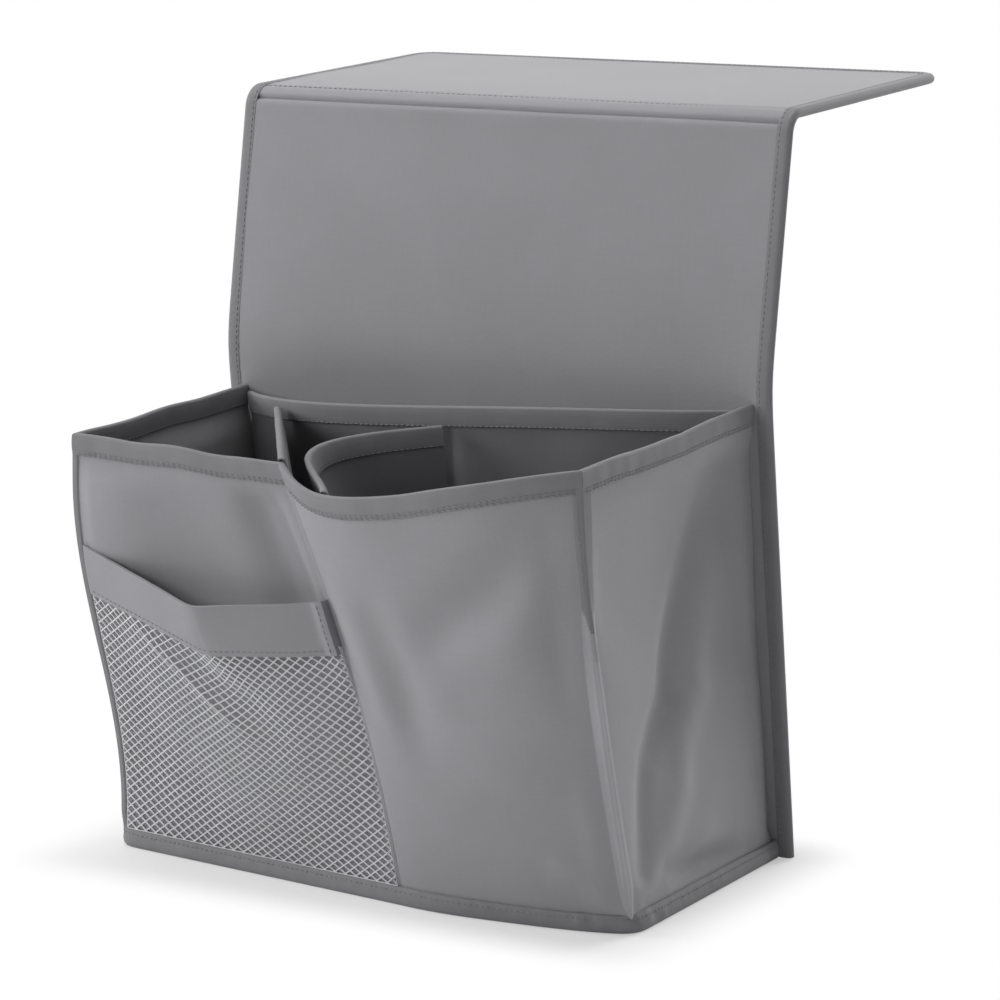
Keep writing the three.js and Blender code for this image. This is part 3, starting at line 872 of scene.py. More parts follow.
@dataclass(frozen=True)
class PanelForm:
    """The back panel, the fold and the flap as one strip, measured along its middle from the foot."""

    half_width: float = 160
    foot: float = 0.8
    top: float = 368
    foot_y: float = 75.4
    bend_height: float = 246
    bend_forward: float = 33
    bend_softness: float = 6
    top_back: float = 20
    fold_radius: float = 11
    flap_length: float = 168
    flap_tilt: float = math.radians(2.3)
    flap_corner: float = 14
    cover_out: float = 2.3
    gap: float = 0.3
    panel_steps: int = 130
    fold_steps: int = 16
    flap_steps: int = 40
    edge_steps: tuple[int, int, int] = (56, 14, 16)
    corner_steps: int = 10
    rear_steps: int = 14

    @property
    def lower_lean(self) -> float:
        """How far the panel leans forward for each unit of height, below its bend."""
        return self.bend_forward / self.bend_height

    @property
    def upper_lean(self) -> float:
        """How far the panel leans back for each unit of height, above its bend."""
        return self.top_back / (self.top - self.bend_height)

    def panel_y(self, z: float) -> float:
        """Return the y of the panel's middle plane at a height."""
        past = self.bend_softness * math.log(1 + math.exp((z - self.bend_height) / self.bend_softness))
        return self.foot_y - self.lower_lean * z + (self.lower_lean + self.upper_lean) * past

    def front(self, z: float) -> float:
        """Return the y that the pouch is sewn to at a height."""
        off = self.cover_out * math.hypot(1, self.lower_lean) + self.gap
        return self.foot_y - self.lower_lean * z - off

    @cached_property
    def spine(self) -> tuple[list[float], list[Vector], list[Vector]]:
        """The strip's middle line: lengths from the foot, points, and directions off its front face."""
        points = []
        for z in [self.foot, *paces(self.foot, self.top, self.panel_steps)]:
            points.append(Vector((0, self.panel_y(z), z)))
        climb = (points[-1] - points[-2]).normalized()
        heading = math.atan2(climb.z, climb.y)
        centre = points[-1] + self.fold_radius * Vector((0, math.sin(heading), -math.cos(heading)))
        for angle in paces(heading, self.flap_tilt, self.fold_steps):
            points.append(centre + self.fold_radius * Vector((0, -math.sin(angle), math.cos(angle))))
        run = Vector((0, math.cos(self.flap_tilt), math.sin(self.flap_tilt)))
        start = points[-1].copy()
        for reach in paces(0, self.flap_length, self.flap_steps):
            points.append(start + run * reach)
        lengths = [0.0]
        for a, b in zip(points, points[1:]):
            lengths.append(lengths[-1] + (b - a).length)
        fronts = []
        for i in range(len(points)):
            along = points[min(i + 1, len(points) - 1)] - points[max(i - 1, 0)]
            fronts.append(Vector((0, -along.z, along.y)).normalized())
        return lengths, points, fronts

    @cached_property
    def fold_from(self) -> float:
        """The length at which the fold starts."""
        return self.spine[0][self.panel_steps]

    @cached_property
    def fold_to(self) -> float:
        """The length at which the flap starts."""
        return self.spine[0][self.panel_steps + self.fold_steps]

    @cached_property
    def end(self) -> float:
        """The length at the flap's free edge."""
        return self.spine[0][-1]

    def at(self, x: float, s: float, out: float) -> Vector:
        """Find a point of the strip.

        Args:
            x: The place across.
            s: The length along its middle from the foot.
            out: The distance off its middle, towards its front and upper face.

        Returns:
            The point.
        """
        lengths, points, fronts = self.spine
        i = int(clamp(bisect_right(lengths, s) - 1, 0, len(points) - 2))
        share = (s - lengths[i]) / (lengths[i + 1] - lengths[i])
        front = fronts[i].lerp(fronts[i + 1], share).normalized()
        point = points[i].lerp(points[i + 1], share) + front * out
        point.x = x
        return point

    def half(self, s: float, inset: float) -> float:
        """Find half the strip's width, rounded at the flap's corners.

        Args:
            s: The length along its middle from the foot.
            inset: How far inside the strip's edge.

        Returns:
            The half width.
        """
        corner = self.flap_corner - inset
        past = s - (self.end - self.flap_corner)
        plain = self.half_width - inset
        if past <= 0:
            return plain
        return plain - corner + math.sqrt(max(corner**2 - min(past, corner) ** 2, 0))

    def stations(self) -> list[tuple[Vector, Vector]]:
        """Mark points round the strip's three long edges.

        Returns:
            The points as (x, s), with the directions out of the strip.
        """
        corner, half, end = self.flap_corner, self.half_width, self.end
        marks, start = [0.0], 0.0
        for stop, count in zip((self.fold_from, self.fold_to, end - corner), self.edge_steps):
            marks += paces(start, stop, count)
            start = stop
        left = [(Vector((-half, s)), Vector((-1, 0))) for s in marks]
        turn = []
        for angle in paces(math.pi, math.pi / 2, self.corner_steps):
            away = Vector((math.cos(angle), math.sin(angle)))
            turn.append((Vector((-half + corner, end - corner)) + away * corner, away))
        rear = [(Vector((x, end)), Vector((0, 1))) for x in paces(-half + corner, 0, self.rear_steps)]
        first = left + turn + rear
        second = [(Vector((-p.x, p.y)), Vector((-d.x, d.y))) for p, d in reversed(first[:-1])]
        return first + second


@dataclass(frozen=True)
class PouchForm:
    """The pouch's seams, walls and inside sheets. Each has u across it and v from its foot to its rim."""

    panel: PanelForm
    left_foot: Span = (-148.5, -73)
    left_rim: tuple[float, float, float] = (-144.5, -113, 219)
    left_leans: Span = (0.1, 0.9)
    middle_foot: Span = (31, -92)
    middle_rim: tuple[float, float, float] = (-23, -113, 215)
    middle_bow: float = 8
    right_foot: Span = (151, -78)
    right_rim: tuple[float, float, float] = (143, -118, 227)
    rear_x: float = 149.5
    left_rear_rim: float = 222
    right_rear_rim: float = 236
    swell: Span = (6, 27)
    swell_power: int = 3
    rim_dip: float = 11
    pocket_side: float = 144.8
    pocket_edge: float = 2.5
    pocket_rim: Span = (219, 233)
    pocket_away: Span = (18, 25)
    pocket_power: int = 5
    front_clear: float = 5.06
    rear_clear: float = 4.7
    cross_rear: Span = (-100, -113)
    cross_rim: float = 216
    divider_from: float = 0.2
    curved_rear: float = -10
    curved_rim: Span = (207, 216)
    curve: Span = (12, 43)
    curve_skew: float = 1.2

    def left_seam(self, v: float) -> Vector:
        """Return the left front seam at a share of its height."""
        y = lerp(self.left_foot[1], self.left_rim[1], ease(v, *self.left_leans))
        return Vector((lerp(self.left_foot[0], self.left_rim[0], v), y, self.left_rim[2] * v))

    def middle_seam(self, v: float) -> Vector:
        """Return the front middle seam at a share of its height."""
        x = lerp(self.middle_foot[0], self.middle_rim[0], v) + self.middle_bow * math.sin(math.pi * v)
        return Vector((x, lerp(self.middle_foot[1], self.middle_rim[1], v), self.middle_rim[2] * v))

    def right_seam(self, v: float) -> Vector:
        """Return the right front seam at a share of its height."""
        y = lerp(self.right_foot[1], self.right_rim[1], math.sin(math.pi / 2 * clamp(v)))
        return Vector((lerp(self.right_foot[0], self.right_rim[0], v), y, self.right_rim[2] * v))

    def rear_seam(self, side: int, v: float) -> Vector:
        """Return the seam of a gusset on the panel, on side -1 or 1."""
        z = (self.left_rear_rim if side < 0 else self.right_rear_rim) * v
        return Vector((side * self.rear_x, self.panel.front(z), z))

    def left_gusset(self, u: float, v: float) -> Vector:
        """Return a point of the left gusset."""
        return self.rear_seam(-1, v).lerp(self.left_seam(v), u)

    def front_left(self, u: float, v: float) -> Vector:
        """Return a point of the left front panel."""
        return self.left_seam(v).lerp(self.middle_seam(v), u)

    def front_right(self, u: float, v: float) -> Vector:
        """Find a point of the right front panel, which swells forward and dips at its rim.

        Args:
            u: The share across it.
            v: The share up it.

        Returns:
            The point.
        """
        point = self.middle_seam(v).lerp(self.right_seam(v), u)
        point.y -= lerp(*self.swell, v) * (1 - abs(2 * u - 1) ** self.swell_power)
        dip = 27 / 4 * u * (1 - u) ** 2
        point.z -= self.rim_dip * v * dip
        return point

    def right_gusset(self, u: float, v: float) -> Vector:
        """Return a point of the right gusset."""
        return self.right_seam(v).lerp(self.rear_seam(1, v), u)

    def pocket_sheet(self, u: float, v: float) -> Vector:
        """Find a point of the rear pocket sheet.

        Args:
            u: The share across it.
            v: The share up it.

        Returns:
            The point.
        """
        z = lerp(*self.pocket_rim, ease(u, 0, 1)) * v
        away = lerp(lerp(*self.pocket_away, v), self.pocket_edge, abs(2 * u - 1) ** self.pocket_power)
        return Vector((lerp(-self.pocket_side, self.pocket_side, u), self.panel.front(z) - away, z))

    def before_pocket(self, x: float, v: float) -> Vector:
        """Return the place before the rear pocket sheet where a divider ends."""
        u = (x + self.pocket_side) / (2 * self.pocket_side)
        return Wall(self.pocket_sheet).at(u, v, self.rear_clear)

    def cross_divider(self, u: float, v: float) -> Vector:
        """Find a point of the straight divider.

        Args:
            u: The share along it, from the front.
            v: The share up it.

        Returns:
            The point.
        """
        front = self.middle_seam(v)
        rear = self.before_pocket(lerp(*self.cross_rear, v), v)
        along = Vector((rear.x - front.x, rear.y - front.y, 0)).normalized()
        point = (front + along * self.front_clear).lerp(rear, u)
        point.z = self.cross_rim * v
        return point

    def curved_divider(self, u: float, v: float) -> Vector:
        """Find a point of the curved divider.

        Args:
            u: The share along it, from the front.
            v: The share up it.

        Returns:
            The point.
        """
        front = Wall(self.front_right).at(self.divider_from, v, -self.front_clear)
        point = front.lerp(self.before_pocket(self.curved_rear, v), u)
        point.x -= lerp(*self.curve, v) * math.sin(math.pi * u**self.curve_skew)
        point.z = lerp(*self.curved_rim, u) * v
        return point


# Sub-assemblies


@dataclass
class BackAndFlap:
    """The back panel, its fold and the flap: covers, the binding round their edges and its stitches."""

    room: Workroom
    form: PanelForm
    cover: float = 1.0
    cover_middle: float = 1.8
    foot_clear: float = 0.4
    end_clear: float = 1.4
    side_clear: float = 2.0
    front_side_clear: float = 2.2
    front_crowding: float = 1.6
    upper_crowding: float = 1.7
    uneven: float = 0.4
    uneven_size: float = 70
    seam_past_fold: float = 4.6
    seam_gap: float = 0.25
    seam_roll: float = 2.6
    seam_depth: float = 1.9
    seam_power: float = 1.5
    sewn_past_seam: float = 8.5
    sewn_depth: float = 0.45
    sewn_width: float = 1.3
    sewn_steps: int = 60
    sewn_side: float = 1
    binding: float = 0.7
    binding_lip: float = 7.6
    binding_side: float = 2.2
    binding_nose: float = 2.6
    binding_tight: float = 0.35
    binding_foot: float = 0.2
    lip_pinch: float = 0.12
    leg_swell: float = 0.1
    nose_steps: int = 12
    stitch_in: float = 1.5
    stitch_rise: float = 0.42

    def build(self) -> None:
        """Cut and sew every piece."""
        self.front_cover()
        self.upper_cover()
        self.rear_cover()
        self.edge_binding()
        self.edge_stitches()

    @property
    def seam(self) -> float:
        """The length along the strip at which the front cover meets the flap's cover."""
        return self.form.fold_from + self.seam_past_fold

    def wander(self, x: float, s: float, seed: float) -> float:
        """Return the slight unevenness of cloth over a board."""
        return self.uneven * noise.noise(Vector((x / self.uneven_size, s / self.uneven_size, seed)))

    def rolled(self, s: float) -> float:
        """Find how far the covers roll in beside their seam, and sink along the line sewn past it.

        Args:
            s: The length along the strip.

        Returns:
            The depth.
        """
        past = s - self.seam
        sewn = self.sewn_depth * math.exp(-(((past - self.sewn_past_seam) / self.sewn_width) ** 2))
        return self.seam_depth * (1 - ease(abs(past), 0, self.seam_roll)) ** self.seam_power + sewn

    def over(self, u: float, s: float, clear: float, seed: float) -> Vector:
        """Find a point of a cover on the strip's front and upper face.

        Args:
            u: The share across the cover.
            s: The length along the strip.
            clear: How far inside the strip's edges the cover ends.
            seed: Picks its unevenness.

        Returns:
            The point.
        """
        x = lerp(-1, 1, u) * self.form.half(s, clear)
        return self.form.at(x, s, self.cover_middle + self.wander(x, s, seed) - self.rolled(s))

    def front_cover(self) -> None:
        """Cut the front cover, up to the seam across the top of the panel."""

        def place(u: float, v: float) -> Vector:
            """Return a point of the cover, its rows drawn together towards the seam."""
            s = lerp(self.foot_clear, self.seam - self.seam_gap, 1 - (1 - v) ** self.front_crowding)
            return self.over(u, s, self.front_side_clear, 1.0)

        cut = Cut(
            "panel_front_cloth", Finish.CLOTH, 40, 110, self.cover, ("back_front_cover",), ("back_board",),
            crosses_fold=True,
        )
        self.room.sheet(cut, place)

    def upper_cover(self) -> None:
        """Cut the cover that runs from the seam over the fold and along the flap's top."""

        def place(u: float, v: float) -> Vector:
            """Return a point of the cover, its rows drawn together towards the seam."""
            s = lerp(self.seam + self.seam_gap, self.form.end - self.end_clear, v**self.upper_crowding)
            return self.over(u, s, self.side_clear, 4.0)

        cut = Cut(
            "flap_upper_cloth", Finish.FLAP, 40, 90, self.cover, ("flap_upper_cover", "hinge_strip"),
            ("flap_board",), crosses_fold=True,
        )
        self.room.sheet(cut, place)

    def rear_cover(self) -> None:
        """Cut the cover of the panel's rear face, which runs on under the flap."""
        form = self.form
        turns = [self.foot_clear, form.fold_from, form.fold_to, form.end - self.end_clear]

        def place(u: float, v: float) -> Vector:
            """Find a point of the cover, a third of its rows in the panel, the fold and the flap each.

            Args:
                u: The share across the cut.
                v: The share along it.

            Returns:
                The point.
            """
            part = int(clamp(v * 3, 0, 2))
            s = lerp(turns[part], turns[part + 1], v * 3 - part)
            x = lerp(-1, 1, u) * form.half(s, self.side_clear)
            return form.at(x, s, -self.cover_middle - self.wander(x, s, 8.0))

        cut = Cut(
            "panel_rear_cloth", Finish.CLOTH, 36, 120, self.cover, ("back_rear_cover", "flap_lower_cover"),
            ("back_board", "flap_board"), crosses_fold=True,
        )
        self.room.sheet(cut, place)

    def profile(self) -> list[Span]:
        """Shape the binding's section.

        Returns:
            Distances out of the edge and off the strip's middle.
        """
        side, nose, lip = self.binding_side, self.binding_nose, self.binding_lip
        legs = [(-lip, side - self.lip_pinch), (-(lip + nose) / 2, side + self.leg_swell)]
        turn = []
        for angle in [math.pi / 2, *paces(math.pi / 2, -math.pi / 2, self.nose_steps)]:
            turn.append((-nose - self.binding_tight + nose * math.cos(angle), side * math.sin(angle)))
        return legs + turn + [(out, -off) for out, off in reversed(legs)]

    def edge_binding(self) -> None:
        """Fold the binding tape over the three long edges."""
        stations = self.form.stations()
        profile = self.profile()
        last, rows = len(stations) - 1, len(profile) - 1

        def place(u: float, v: float) -> Vector:
            """Find a point of the tape.

            Args:
                u: The share across the cut.
                v: The share along it.

            Returns:
                The point.
            """
            point, away = stations[round(u * last)]
            out, off = profile[round(v * rows)]
            spot = point + away * out
            return self.form.at(spot.x, max(spot.y, self.binding_foot), off)

        cut = Cut(
            "edge_binding", Finish.TAPE, last, rows, self.binding,
            ("back_binding_left", "back_binding_right", "flap_binding"), ("back_board", "flap_board"),
            Held.FOLDED, True,
        )
        self.room.sheet(cut, place)

    def stitch_at(self, x: float, s: float, out: float) -> tuple[Vector, Vector]:
        """Return a stitch's place, and the direction off the strip there."""
        here = self.form.at(x, s, out)
        return here, (here - self.form.at(x, s, 0)).normalized()

    def edge_stitches(self) -> None:
        """Sew the binding through both of its legs, and the covers past their seam."""
        runs = []
        for side in (1, -1):
            run = []
            for point, away in self.form.stations():
                spot = point + away * (self.stitch_in - self.binding_lip)
                run.append(self.stitch_at(spot.x, spot.y, side * (self.binding_side + self.stitch_rise)))
            runs.append(run)
        runs.append(self.seam_run())
        self.room.stitches("edge_binding_stitches", runs, crosses_fold=True)

    def seam_run(self) -> Run:
        """Mark the line sewn past the seam across the top of the panel.

        Returns:
            Its points, with the direction off the strip at each.
        """
        s = self.seam + self.sewn_past_seam
        reach = self.form.half(s, self.binding_lip + self.sewn_side)
        out = self.cover_middle + self.cover / 2 - self.sewn_depth
        return [self.stitch_at(x, s, out) for x in [-reach, *paces(-reach, reach, self.sewn_steps)]]


@dataclass(frozen=True)
class SeamStrip:
    """A strip bent over the seam between two walls, with its edges sewn in and its middle pinched."""

    node: str
    finish: Finish
    first_shown: Span
    second_shown: Span
    pinched: float = 0.0
    stitched_from: Optional[float] = None
    upper: Optional[Finish] = None
    upper_from: float = 0.67
    thick: float = 0.7
    off: float = 1.15
    foot_off: float = 0.3
    edge_off: float = 0.25
    foot: float = 7.6
    settles: float = 2.6
    drop: float = 6.0
    sewn_in: float = 4.2
    tucks: Span = (-0.5, 0.7)
    widens: Span = (0.52, 0.95)
    starts: Span = (0.03, 0.13)
    flattens: Span = (0.5, 0.8)
    ridge: float = 1.9
    half: int = 18
    rows: int = 120
    crowding: float = 1.4
    line_in: float = 0.9
    line_short: float = 0.03
    line_steps: int = 40

    def shown(self, side: float, v: float) -> float:
        """Return how much shows on the first wall, side below 0, or on the second."""
        foot, rim = self.first_shown if side < 0 else self.second_shown
        return lerp(foot, rim, ease(v, *self.widens))

    def pinch(self, v: float) -> float:
        """Return how far the strip's middle stands out, where the seam is pinched."""
        return self.pinched * (1 - ease(v, *self.flattens)) * ease(v, *self.starts)

    def sew(self, room: Workroom, first: Wall, second: Wall) -> None:
        """Cut the strip, bend it over its seam and sew it.

        Args:
            room: Where it is cut.
            first: The wall that ends at the seam.
            second: The wall that starts there.
        """
        low = self.foot / second.rim(0)
        high = 1 - self.drop / second.rim(0)

        def section(share: float, v: float) -> Vector:
            """Find a point of the strip's section.

            Args:
                share: The place across, from -1 on the first wall to 1 on the second.
                v: The share of the seam's height.

            Returns:
                The point.
            """
            stand = lerp(self.foot_off, self.off, ease(v, low, self.settles * low))
            if share == 0:
                return second.at(0, v, stand + self.pinch(v))
            wall = first if share < 0 else second
            shown = self.shown(share, v)
            away = abs(share) ** self.crowding * (shown + self.sewn_in)
            tucked = ease(away, shown + self.tucks[0], shown + self.tucks[1])
            off = self.pinch(v) * math.exp(-((away / self.ridge) ** 2)) + lerp(stand, self.edge_off, tucked)
            u = away / wall.length(v)
            spot = 1 - u if share < 0 else u
            return wall.surface(spot, v) + wall.out(spot, v) * (off + wall.relief(spot, v))

        def place(u: float, v: float) -> Vector:
            """Return a point of the strip."""
            return section((round(u * 2 * self.half) - self.half) / self.half, lerp(low, high, v))

        cut = Cut(
            f"{self.node}_tape", self.finish, 2 * self.half, self.rows, self.thick, (self.node,), (),
            Held.FOLDED, upper=self.upper, upper_from=self.upper_from,
        )
        room.sheet(cut, place)
        if self.stitched_from is not None:
            room.stitches(f"{self.node}_stitches", [self.line(first, self.stitched_from, high)])

    def line(self, wall: Wall, start: float, high: float) -> Run:
        """Mark the line sewn along the strip's edge on its first wall.

        Args:
            wall: The wall.
            start: The share of the wall's height at which the line starts.
            high: The share at which the strip ends.

        Returns:
            Its points, with the direction off the wall at each.
        """
        run = []
        for v in [start, *paces(start, high - self.line_short, self.line_steps)]:
            u = 1 - (self.shown(-1, v) - self.line_in) / wall.length(v)
            off = wall.out(u, v)
            run.append((wall.surface(u, v) + off * (self.off + self.thick / 2), off))
        return run


@dataclass(frozen=True)
class RimTape:
    """The tape that is folded over a rim: its section, its ripple and the lines sewn through it."""

    room: Workroom
    thick: float = 0.7
    off: float = 1.45
    reach: float = 9.3
    rise: float = 0.9
    legs: Line = ((-0.45, 1.0), (-0.2, 0.9), (0.0, 0.7), (0.12, 0.35))
    turn_steps: int = 8
    ripple: float = 0.22
    ripple_size: float = 9
    stitch_rise: float = 0.5

    @cached_property
    def profile(self) -> list[Span]:
        """The tape's section: distances off the wall and above its edge."""
        legs = [(self.off + more, -share * self.reach) for more, share in self.legs]
        turn = []
        for angle in [0.0, *paces(0, math.pi, self.turn_steps)]:
            turn.append((self.off * math.cos(angle), self.rise * math.sin(angle)))
        return legs + turn + [(-out, up) for out, up in reversed(legs)]

    def fold_over(self, wall: Wall, node: str, columns: int = 90) -> None:
        """Fold a tape over a wall's rim.

        Args:
            wall: The wall.
            node: The solid that it stands for.
            columns: The tape's cells along the rim.
        """
        rows = len(self.profile) - 1

        def place(u: float, v: float) -> Vector:
            """Find a point of the tape.

            Args:
                u: The share across the cut.
                v: The share along it.

            Returns:
                The point.
            """
            out, up = self.profile[round(v * rows)]
            wave = noise.noise(Vector((u * wall.length(1) / self.ripple_size, 3.0, wall.seed)))
            return wall.at(u, 1 + up / wall.rim(u), out * (1 + self.ripple * wave))

        cut = Cut(f"{node}_tape", Finish.TAPE, columns, rows, self.thick, (node,), (), Held.FOLDED)
        self.room.sheet(cut, place)

    def lines(self, wall: Wall, outer: Sequence[float], inner: float) -> list[Run]:
        """Mark the lines sewn through a wall's tape.

        Args:
            wall: The wall.
            outer: How far below the rim each line runs on the outside.
            inner: How far below the rim one runs on the inside.

        Returns:
            The lines.
        """
        out = self.off + self.stitch_rise
        return [wall.rim_run(drop, out) for drop in outer] + [wall.rim_run(inner, -out)]


@dataclass
class FootBand:
    """The band round the pouch's foot, puckered along its seam."""

    room: Workroom
    walls: Sequence[Wall]
    corner: Vector
    thick: float = 0.8
    span: float = 10.0
    profile: Line = (
        (0.9, 0.35), (2.2, 0.45), (3.0, 1.4), (3.3, 3.4), (3.15, 5.6), (2.75, 7.6), (2.1, 9.0), (1.2, 9.3),
    )
    line_out: float = 3.35
    line_height: float = 7.4
    line_share: float = 0.72
    step: float = 2.0
    least_steps: int = 8
    corner_passes: int = 14
    pucker: float = 0.55
    corner_pucker: float = 1.4
    corner_reach: int = 14
    pucker_share: float = 0.7
    pucker_waves: float = 0.42
    pucker_height: float = 9
    pucker_starts: Span = (0.4, 3.0)

    def path(self, z: float) -> list[Vector]:
        """Mark the line round the pouch at a height, with its corners rounded.

        Args:
            z: The height.

        Returns:
            Its points, from the panel's left side to its right.
        """
        points = []
        for wall in self.walls:
            steps = max(int(wall.length(0) / self.step), self.least_steps)
            for i in range(steps + (wall is self.walls[-1])):
                u = i / steps
                points.append(wall.surface(u, z / wall.rim(u)))
        for _ in range(self.corner_passes):
            inner = [(a + b * 2 + c) / 4 for a, b, c in zip(points, points[1:], points[2:])]
            points = [points[0], *inner, points[-1]]
        return points

    @cached_property
    def low(self) -> list[Vector]:
        """The line round the pouch's foot."""
        return self.path(0.0)

    @cached_property
    def high(self) -> list[Vector]:
        """The line round the pouch at the top of the band's span."""
        return self.path(self.span)

    @cached_property
    def corner_station(self) -> int:
        """The number of the line's point nearest the puckered corner."""
        return min(range(len(self.low)), key=lambda i: (self.low[i] - self.corner).length)

    def off(self, i: int) -> Vector:
        """Return the level direction out of the pouch at a point of the line."""
        along = self.low[min(i + 1, len(self.low) - 1)] - self.low[max(i - 1, 0)]
        return Vector((along.y, -along.x, 0)).normalized()

    def at(self, i: int, out: float, z: float, share: float) -> Vector:
        """Find a point of the band.

        Args:
            i: The number of the line's point.
            out: The distance out of the walls, before the pucker.
            z: The height.
            share: The share of the band's span up the walls.

        Returns:
            The point.
        """
        near = abs(i - self.corner_station) < self.corner_reach
        drawn = self.corner_pucker if near else self.pucker
        drawn *= noise.noise(Vector((i * self.pucker_waves, z / self.pucker_height, 21.0)))
        base = self.low[i].lerp(self.high[i], share)
        base.z = z
        return base + self.off(i) * (out + self.pucker_share * drawn * ease(z, *self.pucker_starts))

    def build(self) -> None:
        """Fold the band round the foot and sew it."""
        last, rows = len(self.low) - 1, len(self.profile) - 1

        def place(u: float, v: float) -> Vector:
            """Return a point of the band."""
            out, z = self.profile[round(v * rows)]
            return self.at(round(u * last), out, z, z / self.span)

        cut = Cut(
            "base_band_tape", Finish.TAPE, last, rows, self.thick, ("base_band",), ("base_board",),
            Held.FOLDED,
        )
        self.room.sheet(cut, place)
        run = []
        for i in range(2, last - 1):
            run.append((self.at(i, self.line_out, self.line_height, self.line_share), self.off(i)))
        self.room.stitches("base_band_stitches", [run])


@dataclass
class Base:
    """The base's two level sheets: the cover under its board and the lining over it."""

    room: Workroom
    form: PouchForm
    front_left: Wall
    front_right: Wall
    thick: float = 1.0
    split: float = 0.6
    rear_gap: float = 0.6
    sag: float = 0.12
    corner_cut: float = 5.0
    corner_reach: float = 8

    def build(self) -> None:
        """Cut both sheets."""
        self.sheet("base_cover", Finish.CLOTH, 0.6, 1.2)
        self.sheet("base_lining", Finish.LINING, 4.8, -2.2)

    def front(self, u: float, out: float) -> Vector:
        """Find a point of a sheet's front edge, which follows both front panels.

        Args:
            u: The share along it.
            out: How far it reaches past the panels' middle surface.

        Returns:
            The point.
        """
        if u < self.split:
            return self.front_left.at(u / self.split, 0, out)
        return self.front_right.at((u - self.split) / (1 - self.split), 0, out)

    def sheet(self, node: str, finish: Finish, z: float, out: float) -> None:
        """Cut one sheet, its front corners cut back.

        Args:
            node: The solid that it stands for.
            finish: Its finish.
            z: The height of its middle.
            out: How far it reaches past the walls' middle surface.
        """

        def place(u: float, v: float) -> Vector:
            """Find a point of the sheet.

            Args:
                u: The share across the cut.
                v: The share along it.

            Returns:
                The point.
            """
            near = self.front(u, out)
            rear_x = lerp(-self.form.rear_x - out, self.form.rear_x + out, u)
            rear_y = self.form.panel.front(z) - self.rear_gap
            sag = self.sag * noise.noise(Vector((u * 5, v * 3, z)))
            to_corner = math.hypot(min(u, 1 - u) * 2 * self.form.rear_x, v * (rear_y - near.y))
            inward = self.corner_cut * math.exp(-((to_corner / self.corner_reach) ** 2))
            x = lerp(near.x, rear_x, v)
            return Vector((x - math.copysign(inward, x), lerp(near.y, rear_y, v) + inward, z + sag))

        cut = Cut(f"{node}_cloth", finish, 60, 36, self.thick, (node,), ("base_board",), Held.STRETCHED)
        self.room.sheet(cut, place)


